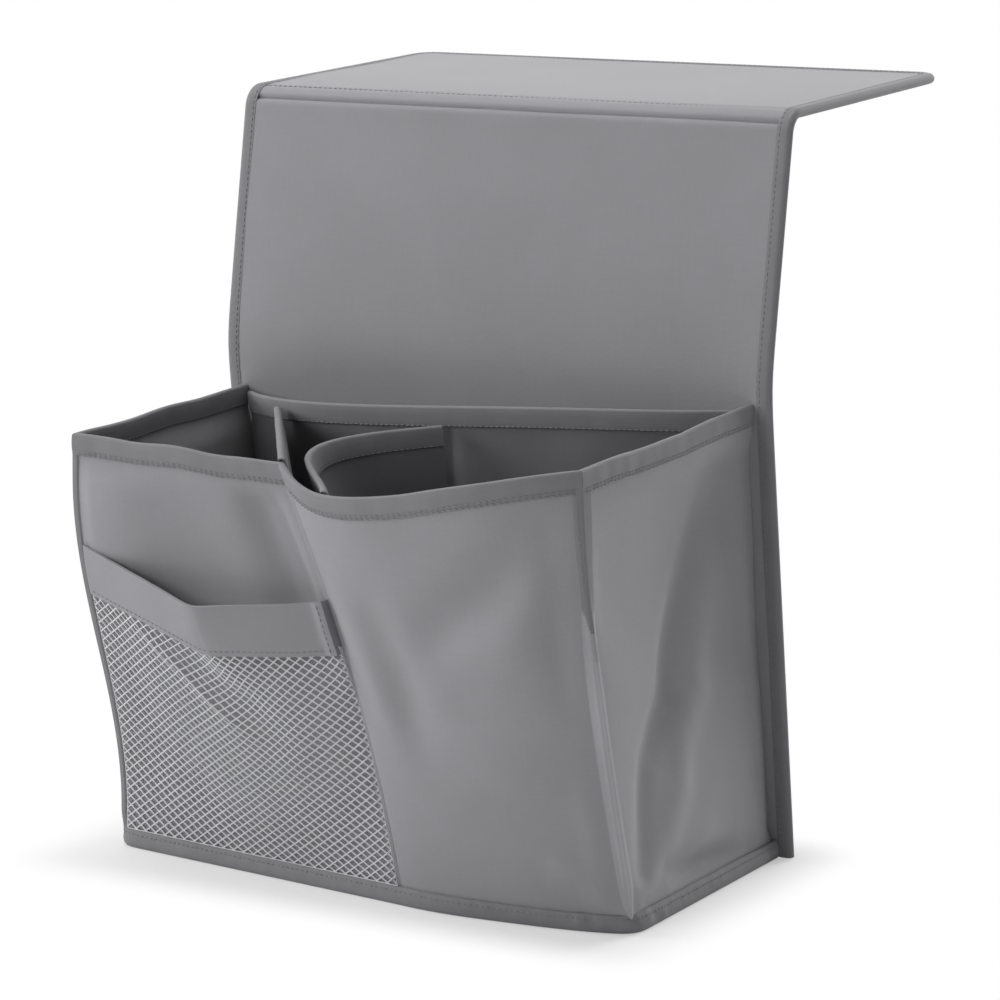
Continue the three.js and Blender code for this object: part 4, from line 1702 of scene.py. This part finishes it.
@dataclass
class Pouch:
    """The pouch: four walls with their folds, rim tapes, seam strips, the foot band and the base."""

    room: Workroom
    form: PouchForm
    rims: RimTape
    wall: float = 1.4
    wall_foot: float = 1.6
    wall_inset: float = 0.4
    rim_wander: float = 2.2
    rim_waves: float = 3.7
    outer_lines: Span = (7.6, 9.2)
    inner_line: float = 8.4

    def __post_init__(self) -> None:
        """Make the four walls and join them at their seams."""
        form = self.form
        self.left_gusset = Wall(
            self.loose(form.left_gusset, 2.0), self.left_folds(),
            crumple=1.2, crumple_size=45, seed=2.0, free_end=0,
        )
        self.front_left = Wall(
            self.loose(form.front_left, 5.0), self.front_left_folds(),
            crumple=0.7, crumple_size=60, seed=5.0,
        )
        self.front_right = Wall(
            self.loose(form.front_right, 9.0), self.front_right_folds(),
            crumple=1.2, crumple_size=60, seed=9.0,
        )
        self.right_gusset = Wall(
            self.loose(form.right_gusset, 13.0), self.right_folds(),
            crumple=1.2, crumple_size=45, seed=13.0, free_end=1,
        )
        self.walls = [self.left_gusset, self.front_left, self.front_right, self.right_gusset]
        for first, second in zip(self.walls, self.walls[1:]):
            first.after, second.before = second, first

    def loose(self, surface: Surface, seed: float) -> Surface:
        """Let a wall's rim wander up and down a little between its two seams.

        Args:
            surface: The wall as it was cut.
            seed: Picks the wander.

        Returns:
            The wall as it stands.
        """

        def wandering(u: float, v: float) -> Vector:
            """Find a point of the wall as it stands.

            Args:
                u: The share across the wall.
                v: The share up the wall.

            Returns:
                The point.
            """
            point = surface(u, v)
            swing = noise.noise(Vector((u * self.rim_waves, seed, 0.5))) * math.sin(math.pi * clamp(u))
            point.z += self.rim_wander * swing * v**3
            return point

        return wandering

    @staticmethod
    def right_folds() -> tuple[Union[Fold, Pleat], ...]:
        """List the right gusset's folds: a pleat, the ridge behind it and creases at its foot.

        Returns:
            The folds.
        """
        valley = (
            (0.045, 0.0), (0.1, 0.12), (0.19, 0.25), (0.27, 0.34), (0.47, 0.44), (0.515, 0.53),
            (0.585, 0.62), (0.665, 0.71), (0.71, 0.8), (0.76, 0.9), (0.8, 1.0),
        )
        ridge = (
            (0.06, 0.05), (0.19, 0.11), (0.3, 0.17), (0.43, 0.26), (0.5, 0.345), (0.64, 0.44),
            (0.68, 0.53), (0.73, 0.62), (0.81, 0.715),
        )
        return (
            Pleat(
                valley, 14.0, rounding=0.12, grows=(0.08, 0.55), eases=(0.72, 0.95), rim_share=0.35,
                foot_dive=1.9, rim_dive=1.1,
            ),
            Fold(valley[1:9], -2.8, 8.5, 0.7, 0.3),
            Fold(ridge, 2.7, 11, 0.6, 0.3),
            Fold(((0.13, 0.06), (0.45, 0.12), (0.68, 0.14)), 2.0, 6, 0.3, 0.1),
            Fold(((0.1, 0.045), (0.25, 0.09), (0.45, 0.075), (0.8, 0.05)), -3.6, 8, 0.6, 0.3),
            Fold(((1.0, 0.0), (1.0, 0.95)), -3.4, 8, 1.0, 0.5),
        )

    @staticmethod
    def left_folds() -> tuple[Union[Fold, Pleat], ...]:
        """List the left gusset's folds, which fall in as the right one's do.

        Returns:
            The folds.
        """
        valley = ((0.94, 0.0), (0.75, 0.2), (0.52, 0.45), (0.42, 0.7), (0.24, 1.0))
        return (
            Pleat(valley, 10.0, 0.17),
            Fold(valley[1:4], -4.0, 15, 0.2, 0.2),
            Fold(((0.98, 0.0), (0.7, 0.08), (0.4, 0.11)), 3.4, 8, 0.6, 0.1),
            Fold(((0.9, 0.1), (0.85, 0.4), (0.84, 0.7)), 2.5, 15, 0.4, 0.2),
            Fold(((0.0, 0.0), (0.0, 0.95)), -3.4, 8, 1.0, 0.5),
        )

    @staticmethod
    def front_left_folds() -> tuple[Fold, ...]:
        """List the left front panel's folds: full on its left, hollow before the middle seam.

        Returns:
            The folds.
        """
        return (
            Fold(((0.2, 1.0), (0.2, 0.6)), 5.0, 34, 0.8, 0.2),
            Fold(((0.82, 1.0), (0.85, 0.8), (0.9, 0.58)), -6.0, 15, 0.8, 0.3),
            Fold(((0.9, 0.96), (0.93, 0.78), (0.96, 0.6)), -2.0, 5, 0.4, 0.3),
        )

    @staticmethod
    def front_right_folds() -> tuple[Fold, ...]:
        """List the right front panel's folds: a ridge before its divider, creases to its corners.

        Returns:
            The folds.
        """
        return (
            Fold(((0.14, 0.84), (0.16, 0.62), (0.19, 0.36)), 2.2, 9, 0.1, 0.1),
            Fold(((0.27, 0.84), (0.29, 0.62), (0.32, 0.36)), -3.4, 12, 0.1, 0.1),
            Fold(((0.98, 0.9), (0.8, 0.81), (0.5, 0.69), (0.34, 0.6)), -5.0, 14, 0.6, 0.2),
            Fold(((0.97, 0.9), (0.86, 0.72), (0.7, 0.56)), 2.6, 14, 0.4, 0.1),
            Fold(((0.97, 0.93), (0.92, 0.7), (0.92, 0.45)), -2.0, 8, 0.6, 0.1),
            Fold(((0.98, 0.02), (0.86, 0.12), (0.7, 0.17)), 2.2, 8, 0.6, 0.1),
            Fold(((0.98, 0.02), (0.93, 0.2), (0.93, 0.4)), 1.6, 8, 0.6, 0.1),
            Fold(((0.6, 0.5), (0.56, 0.25)), 3.0, 34, 0.3, 0.2),
        )

    def build(self) -> None:
        """Cut and sew every piece."""
        names = ("left_gusset", "front_left_panel", "front_right_panel", "right_gusset")
        rims = ("left_gusset_rim", "front_left_rim", "front_right_rim", "right_gusset_rim")
        runs = []
        for wall, name, rim in zip(self.walls, names, rims):
            self.wall_sheet(wall, name)
            self.rims.fold_over(wall, rim)
            runs += self.rims.lines(wall, self.outer_lines, self.inner_line)
        self.room.stitches("rim_stitches", runs)
        strips = (
            SeamStrip("corner_strip_left", Finish.TAPE, (6.0, 6.0), (1.5, 1.5)),
            SeamStrip("front_seam_strip", Finish.CLOTH, (1.6, 1.6), (1.6, 1.6)),
            # The right corner strip's lower, pinched part carries painted light; its upper part is plain
            # tape.
            SeamStrip(
                "corner_strip_right", Finish.RIDGE_PAINTED_LIGHT, (0.5, 2.4), (0.8, 7.6), pinched=2.6, stitched_from=0.7,
                upper=Finish.TAPE,
            ),
        )
        for strip, first, second in zip(strips, self.walls, self.walls[1:]):
            strip.sew(self.room, first, second)
        FootBand(self.room, self.walls, self.form.right_seam(0)).build()
        Base(self.room, self.form, self.front_left, self.front_right).build()

    def wall_sheet(self, wall: Wall, node: str) -> None:
        """Cut one wall with its folds.

        Args:
            wall: The wall.
            node: The solid that it stands for.
        """

        def place(u: float, v: float) -> Vector:
            """Find a point of the wall's cloth.

            Args:
                u: The share across the cut.
                v: The share along it.

            Returns:
                The point.
            """
            inset = self.wall_inset / wall.length(v)
            share = lerp(inset, 1 - inset, u)
            return wall.cloth(share, max(v, self.wall_foot / wall.rim(share)))

        columns = 96 if wall is self.front_right else 80
        cut = Cut(f"{node}_cloth", Finish.CLOTH, columns, 100, self.wall, (node,), ("base_board",))
        self.room.sheet(cut, place)


@dataclass
class InsideSheets:
    """The rear pocket sheet and the two dividers, each with a tape over its rim."""

    room: Workroom
    form: PouchForm
    pouch: Pouch
    foot: float = 5.8
    thick: float = 1.4
    cells: int = 70
    sewn_drop: float = 9.0
    led: float = 0.35

    def build(self) -> None:
        """Cut and sew the three sheets."""
        pocket = Wall(
            self.form.pocket_sheet,
            (
                Fold(((0.72, 1.0), (0.76, 0.7), (0.74, 0.4)), 2.2, 16, 0.6, 0.1),
                Fold(((0.3, 0.95), (0.26, 0.6)), -2.0, 22),
            ),
            crumple=1.0, crumple_size=60, seed=31.0,
        )
        cross = Wall(
            self.form.cross_divider, (Fold(((0.5, 0.95), (0.42, 0.4)), 2.0, 24),),
            crumple=1.0, crumple_size=50, seed=37.0,
        )
        curved = Wall(
            self.led_divider, (Fold(((0.4, 1.0), (0.5, 0.3)), 1.5, 22),),
            crumple=0.8, crumple_size=50, seed=41.0,
        )
        walls = (pocket, cross, curved)
        for wall, node in zip(walls, ("rear_pocket_sheet", "cross_divider", "curved_divider")):
            self.sheet(wall, node)
        runs = []
        for wall, rim in zip(walls, ("rear_pocket_rim", "cross_divider_rim", "curved_divider_rim")):
            self.pouch.rims.fold_over(wall, rim, self.cells)
            runs += self.pouch.rims.lines(wall, (self.sewn_drop,), self.sewn_drop)
        self.room.stitches("inside_rim_stitches", runs)

    def led_divider(self, u: float, v: float) -> Vector:
        """Find a point of the curved divider, its front edge kept behind the front panel's folds.

        Args:
            u: The share along it, from the front.
            v: The share up it.

        Returns:
            The point.
        """
        front = self.pouch.front_right
        inward = min(front.relief(self.form.divider_from, v), 0) * (1 - ease(u, 0, self.led))
        return self.form.curved_divider(u, v) + front.out(self.form.divider_from, v) * inward

    def sheet(self, wall: Wall, node: str) -> None:
        """Cut one sheet.

        Args:
            wall: Its surface.
            node: The solid that it stands for.
        """

        def place(u: float, v: float) -> Vector:
            """Return a point of the sheet."""
            return wall.cloth(u, max(v, self.foot / wall.rim(u)))

        cut = Cut(
            f"{node}_cloth", Finish.LINING, self.cells, self.cells, self.thick, (node,),
            ("base_lining_cloth",),
        )
        self.room.sheet(cut, place)


@dataclass
class NetPocket:
    """The net pocket on the left front panel: a hem band that gapes at its kink, over a diamond net."""

    room: Workroom
    pouch: Pouch
    diamond_wide: float = 6.2
    diamond_tall: float = 4.2
    strand: float = 0.6
    thick: float = 0.5
    spare_cells: int = 4
    foot: float = 9.6
    left_side: float = 3.4
    right_side: float = -0.4
    stand: float = 1.9
    end_stand: float = 2.6
    gape: float = 24
    gape_power: float = 0.82
    kink: float = 0.54
    kink_rounding: Span = (0.16, 0.05)
    kink_sharpens: Span = (0.72, 1)
    hem: float = 1.3
    hem_off: float = 0.9
    hem_roll: float = 0.5
    hem_wave: float = 0.5
    hem_height: float = 26
    hem_left: float = 164
    hem_right: float = 151
    hem_sag: float = 12
    hem_overlap: float = 4
    hem_turned: float = 0.7
    turn_at: Span = (0.955, 0.962)
    low_line: Span = (2.2, 1.85)
    low_line_span: Span = (0.01, 0.95)
    low_line_steps: int = 80
    end_line: Span = (0.975, 2.75)
    end_line_short: float = 1
    end_line_steps: int = 20
    crease_span: Span = (172.0, 125.0)
    crease_wave: float = 0.9
    crease_size: float = 28
    folds: tuple[Fold, ...] = (
        Fold(((0.15, 0.98), (0.36, 0.81), (0.62, 0.58)), 2.6, 3.4, 0.1, 0.2),
        Fold(((0.34, 1.0), (0.6, 0.74), (0.68, 0.6)), -5.0, 11.0, 0.7, 0.2),
        Fold(((0.8, 1.0), (0.76, 0.6), (0.72, 0.3)), 2.0, 16.0, 0.2, 0.2),
    )

    def build(self) -> None:
        """Knot the net, then cut and sew the hem."""
        self.net()
        self.hem_band()
        self.hem_stitches()

    def gape_share(self, u: float, rise: float = 1.0) -> float:
        """Find how far open the pocket is, with a kink that is rounder lower down.

        Args:
            u: The share of its width.
            rise: The share of its height.

        Returns:
            The share of the full opening.
        """
        rounding = lerp(*self.kink_rounding, ease(rise, *self.kink_sharpens))
        share = max(tent(u, self.kink, rounding), 0.0)
        return share if u < self.kink else share**self.gape_power

    def hem_top(self, u: float) -> float:
        """Return the height of the hem's top edge."""
        return lerp(self.hem_left, self.hem_right, u) - self.hem_sag * self.gape_share(u)

    def net_top(self, u: float) -> float:
        """Return the height of the net's top edge, which lies under the hem."""
        return self.hem_top(u) - self.hem_height + self.hem_overlap

    def at(self, u: float, z: float, out: float) -> Vector:
        """Find a point of the pocket.

        Args:
            u: The share of its width.
            z: The height.
            out: The distance off the pocket's middle surface.

        Returns:
            The point.
        """
        wall = self.pouch.front_left
        v = z / wall.rim(u)
        rise = (z - self.foot) / (self.hem_top(u) - self.foot)
        off = self.stand + self.gape * self.gape_share(clamp(u), rise) * rise + out
        off += self.end_stand * ease(u, 0.93, 1) * ease(rise, 0.6, 0.85)
        share = lerp(self.left_side / wall.length(v), 1 - self.right_side / wall.length(v), u)
        return wall.surface(share, v) + wall.out(share, v) * off

    def stitch_at(self, u: float, z: float, out: float) -> tuple[Vector, Vector]:
        """Return a stitch's place, and the direction off the pocket there."""
        here = self.at(u, z, out)
        return here, (here - self.at(u, z, 0)).normalized()

    def creases(self, u: float, rise: float) -> float:
        """Find how far the net's creases stand out, and the hollow beside them sinks.

        Args:
            u: The share of the pocket's width.
            rise: The share of the net's height.

        Returns:
            The distance off the plain net.
        """
        width, height = self.crease_span
        lift = sum(fold.lift(u, rise, width, height) for fold in self.folds)
        wave = noise.noise(Vector((u * width / self.crease_size, rise * height / self.crease_size, 51.0)))
        return lift + self.crease_wave * wave * ease(min(u, 1 - u), 0, 0.1) * ease(rise, 0.02, 0.2)

    def knot(self, width: float, height: float) -> bmesh.types.BMesh:
        """Knot a flat net: a grid on its corner, stretched and cut to size, with its cells opened up.

        Args:
            width: The net's width.
            height: The net's height.

        Returns:
            The net, with the cut's own coordinates in metres.
        """
        cell = self.diamond_tall / math.sqrt(2)
        stretch = self.diamond_wide / self.diamond_tall
        cells = int((width / stretch + height) / self.diamond_tall) + self.spare_cells
        turn = Matrix.Rotation(math.pi / 4, 3, "Z")
        mesh = bmesh.new()
        layer = mesh.loops.layers.uv.new("cut")
        bmesh.ops.create_grid(mesh, x_segments=cells, y_segments=cells, size=cells * cell / 2)
        bmesh.ops.rotate(mesh, verts=mesh.verts[:], cent=(0, 0, 0), matrix=turn)
        bmesh.ops.scale(mesh, verts=mesh.verts[:], vec=(stretch, 1, 1))
        for side in ((1, 0, 0), (-1, 0, 0), (0, 1, 0), (0, -1, 0)):
            parts = mesh.verts[:] + mesh.edges[:] + mesh.faces[:]
            edge = Vector(side) * (width / 2 if side[0] else height / 2)
            bmesh.ops.bisect_plane(
                mesh, geom=parts, dist=1e-4, plane_co=edge, plane_no=side, clear_outer=True
            )
        holes = mesh.faces[:]
        bmesh.ops.inset_individual(mesh, faces=holes, thickness=self.strand / 2, use_even_offset=True)
        bmesh.ops.delete(mesh, geom=holes, context="FACES")
        for face in mesh.faces:
            for loop in face.loops:
                loop[layer].uv = (loop.vert.co.x * MM, loop.vert.co.y * MM)
        return mesh

    def net(self) -> None:
        """Lay the net in its place, from the foot band to the hem."""
        width = self.pouch.front_left.length(0.3) - self.left_side - self.right_side
        height = self.net_top(0.5) - self.foot
        mesh = self.knot(width, height)
        area = sum(face.calc_area() for face in mesh.faces)
        area += sum(edge.calc_length() for edge in mesh.edges if edge.is_boundary) * self.thick / 2
        for vert in mesh.verts:
            u = clamp(vert.co.x / width + 0.5)
            rise = clamp(vert.co.y / height + 0.5)
            vert.co = self.at(u, lerp(self.foot, self.net_top(u), rise), self.creases(u, rise)) * MM
        self.room.thicken(mesh, self.thick)
        cut = Cut(
            "pocket_net", Finish.NET, 0, 0, self.thick, ("mesh_net_left", "mesh_net_right"),
            ("pocket_hem", "base_band_tape"), Held.HUNG,
        )
        self.room.declare(mesh, cut, (width * MM, height * MM), area * MM**2)

    def hem_band(self) -> None:
        """Cut the hem band along the pocket's mouth, its right end folded under."""

        def place(u: float, v: float) -> Vector:
            """Find a point of the hem.

            Args:
                u: The share across the cut.
                v: The share along it.

            Returns:
                The point.
            """
            z = self.hem_top(u) - self.hem_height * (1 - v)
            turned = self.hem_turned * ease(u, *self.turn_at)
            roll = self.hem_roll * math.sin(math.pi * v)
            wave = noise.noise(Vector((u * 6, v * 0.8, 61.0))) * ease(min(u, 1 - u), 0, 0.08)
            return self.at(u, z, self.hem_off + turned + roll + self.hem_wave * wave)

        cut = Cut(
            "pocket_hem", Finish.HEM, 110, 14, self.hem, ("mesh_pocket_hem",),
            ("corner_strip_left_tape", "front_seam_strip_tape"), Held.FOLDED,
        )
        self.room.sheet(cut, place)

    def hem_stitches(self) -> None:
        """Sew the hem along its lower edge and down its right end."""
        start, stop = self.low_line_span
        up, out = self.low_line
        low = []
        for u in [start, *paces(start, stop, self.low_line_steps)]:
            low.append(self.stitch_at(u, self.hem_top(u) - self.hem_height + up, out))
        u, out = self.end_line
        foot = self.hem_top(u) - self.hem_height + self.end_line_short
        top = self.hem_top(u) - self.end_line_short
        end = [self.stitch_at(u, z, out) for z in [foot, *paces(foot, top, self.end_line_steps)]]
        self.room.stitches("pocket_hem_stitches", [low, end])


@dataclass
class Boards:
    """The stiffener boards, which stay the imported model's own solids."""

    room: Workroom
    nodes: tuple[str, ...] = ("back_board", "flap_board", "base_board")

    def dress(self, objects: dict[str, bpy.types.Object]) -> None:
        """Give each board its finish.

        Args:
            objects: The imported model's solids by name.
        """
        for name in self.nodes:
            data = objects[name].data
            data.materials.clear()
            data.materials.append(self.room.materials[Finish.BOARD])
            LOG.info("%s: dressed", name)


@dataclass(frozen=True)
class SoftBox:
    """A soft lamp: its place, what it faces, its side and its power."""

    name: str
    place: tuple[float, float, float]
    faces: tuple[float, float, float]
    side: float
    power: float

    def hang(self) -> None:
        """Make the lamp."""
        data = bpy.data.lights.new(self.name, "AREA")
        data.shape = "SQUARE"
        data.size = self.side
        data.energy = self.power
        lamp = bpy.data.objects.new(self.name, data)
        lamp.location = self.place
        lamp.rotation_euler = facing(self.place, self.faces)
        bpy.context.scene.collection.objects.link(lamp)


@dataclass
class Studio:
    """The pale floor, the lamps, the white surround and the camera."""

    eye: tuple[float, float, float] = (0.9815, -1.6202, 0.536)
    aim: tuple[float, float, float] = (0.0141, 0.03, 0.1784)
    lens: float = 138.3
    sensor: float = 36.0
    far: float = 20
    surround: float = 0.21
    floor_tone: float = 0.82
    floor_roughness: float = 0.9
    floor_half: float = 6.0
    floor_z: float = -0.0002
    footprint: tuple[Span, Span] = ((0.0, 0.15), (-0.012, 0.088))
    shadow_reach: float = 0.045
    least_glow: float = 0.4
    lamps: tuple[SoftBox, ...] = (
        SoftBox("top_box", (-0.2, 0.2, 1.8), (0, 0, 0.2), 1.5, 20),
        SoftBox("key_box", (-2.0, -0.85, 1.0), (0, 0, 0.2), 0.9, 28.5),
        SoftBox("front_box", (-0.45, -2.0, 0.9), (0, 0, 0.2), 0.8, 12.5),
        SoftBox("right_box", (0.8, 2.2, 0.9), (0, 0, 0.2), 1.2, 42),
    )

    def build(self) -> None:
        """Set the stage."""
        for lamp in self.lamps:
            lamp.hang()
        self.sky()
        self.floor()
        self.camera()

    @staticmethod
    def seen(tree: Tree) -> Socket:
        """Tell what sees the surround from what it lights.

        Args:
            tree: The node tree that asks.

        Returns:
            1 for rays from the camera and for those that show the surround in gloss and glass.
        """
        path = tree.node("ShaderNodeLightPath")
        gloss = tree.math("MAXIMUM", path.outputs["Is Glossy Ray"], path.outputs["Is Transmission Ray"])
        return tree.math("MAXIMUM", path.outputs["Is Camera Ray"], gloss)

    def sky(self) -> None:
        """Make the surround: white to look at, and a plain soft light."""
        world = bpy.data.worlds.new("surround")
        world.use_nodes = True
        bpy.context.scene.world = world
        tree = Tree(world.node_tree)
        light = world.node_tree.nodes["Background"]
        white = tree.node("ShaderNodeBackground")
        for background, strength in ((light, self.surround), (white, 1.0)):
            background.inputs["Color"].default_value = (1, 1, 1, 1)
            background.inputs["Strength"].default_value = strength
        tree.mix(self.seen(tree), light, white, world.node_tree.nodes["World Output"].inputs["Surface"])

    def floor(self) -> None:
        """Lay the floor, which keeps the shadow near the caddy and turns white away from it."""
        mesh = bmesh.new()
        bmesh.ops.create_grid(mesh, x_segments=1, y_segments=1, size=self.floor_half)
        data = bpy.data.meshes.new("floor")
        mesh.to_mesh(data)
        mesh.free()
        made, tree, shader = start_material("pale_floor")
        shader.inputs["Base Color"].default_value = (self.floor_tone, self.floor_tone, self.floor_tone, 1)
        shader.inputs["Roughness"].default_value = self.floor_roughness
        shader.inputs["Specular IOR Level"].default_value = 0.0
        glow = tree.node("ShaderNodeEmission", Strength=1.0)
        share = tree.math("MULTIPLY", self.fade(tree), self.seen(tree))
        tree.mix(share, shader, glow, made.node_tree.nodes["Material Output"].inputs["Surface"])
        data.materials.append(made)
        floor = bpy.data.objects.new("floor", data)
        floor.location.z = self.floor_z
        bpy.context.scene.collection.objects.link(floor)

    def fade(self, tree: Tree) -> Socket:
        """Measure how far a point of the floor is from the caddy's footprint.

        Args:
            tree: The floor's node tree.

        Returns:
            The glow's share, which grows to 1 where the shadow ends.
        """
        place = tree.node("ShaderNodeTexCoord")
        split = tree.node("ShaderNodeSeparateXYZ")
        tree.join(place.outputs["Object"], split.inputs[0])
        squares = []
        for axis, (middle, half) in enumerate(self.footprint):
            off = tree.math("ABSOLUTE", tree.math("SUBTRACT", split.outputs[axis], middle))
            past = tree.math("MAXIMUM", tree.math("SUBTRACT", off, half), 0.0)
            squares.append(tree.math("POWER", past, 2.0))
        away = tree.math("SQRT", tree.math("ADD", squares[0], squares[1]))
        fade = tree.node(
            "ShaderNodeMapRange", From_Min=0.0, From_Max=self.shadow_reach,
            To_Min=self.least_glow, To_Max=1.0,
        )
        fade.interpolation_type = "SMOOTHSTEP"
        tree.join(away, fade.inputs["Value"])
        return fade.outputs[0]

    def camera(self) -> None:
        """Stand the camera at the photograph's viewing angle."""
        data = bpy.data.cameras.new("camera")
        data.lens = self.lens
        data.sensor_width = self.sensor
        data.clip_end = self.far
        camera = bpy.data.objects.new("camera", data)
        camera.location = self.eye
        camera.rotation_euler = facing(self.eye, self.aim)
        bpy.context.scene.collection.objects.link(camera)
        bpy.context.scene.camera = camera


def main() -> None:
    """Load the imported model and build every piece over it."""
    logging.basicConfig(level=logging.INFO, format="%(name)s %(message)s")
    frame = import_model()
    bpy.context.scene.view_settings.view_transform = "Standard"
    panel = PanelForm()
    pouch_form = PouchForm(panel)
    room = Workroom(panel.at(0, panel.fold_from, 0), panel.at(0, panel.fold_to, 0))
    room.stock()
    Studio().build()
    BackAndFlap(room, panel).build()
    pouch = Pouch(room, pouch_form, RimTape(room))
    pouch.build()
    InsideSheets(room, pouch_form, pouch).build()
    NetPocket(room, pouch).build()
    Boards(room).dress(frame["nodes"])
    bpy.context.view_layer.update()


if __name__ == "__main__":
    main()
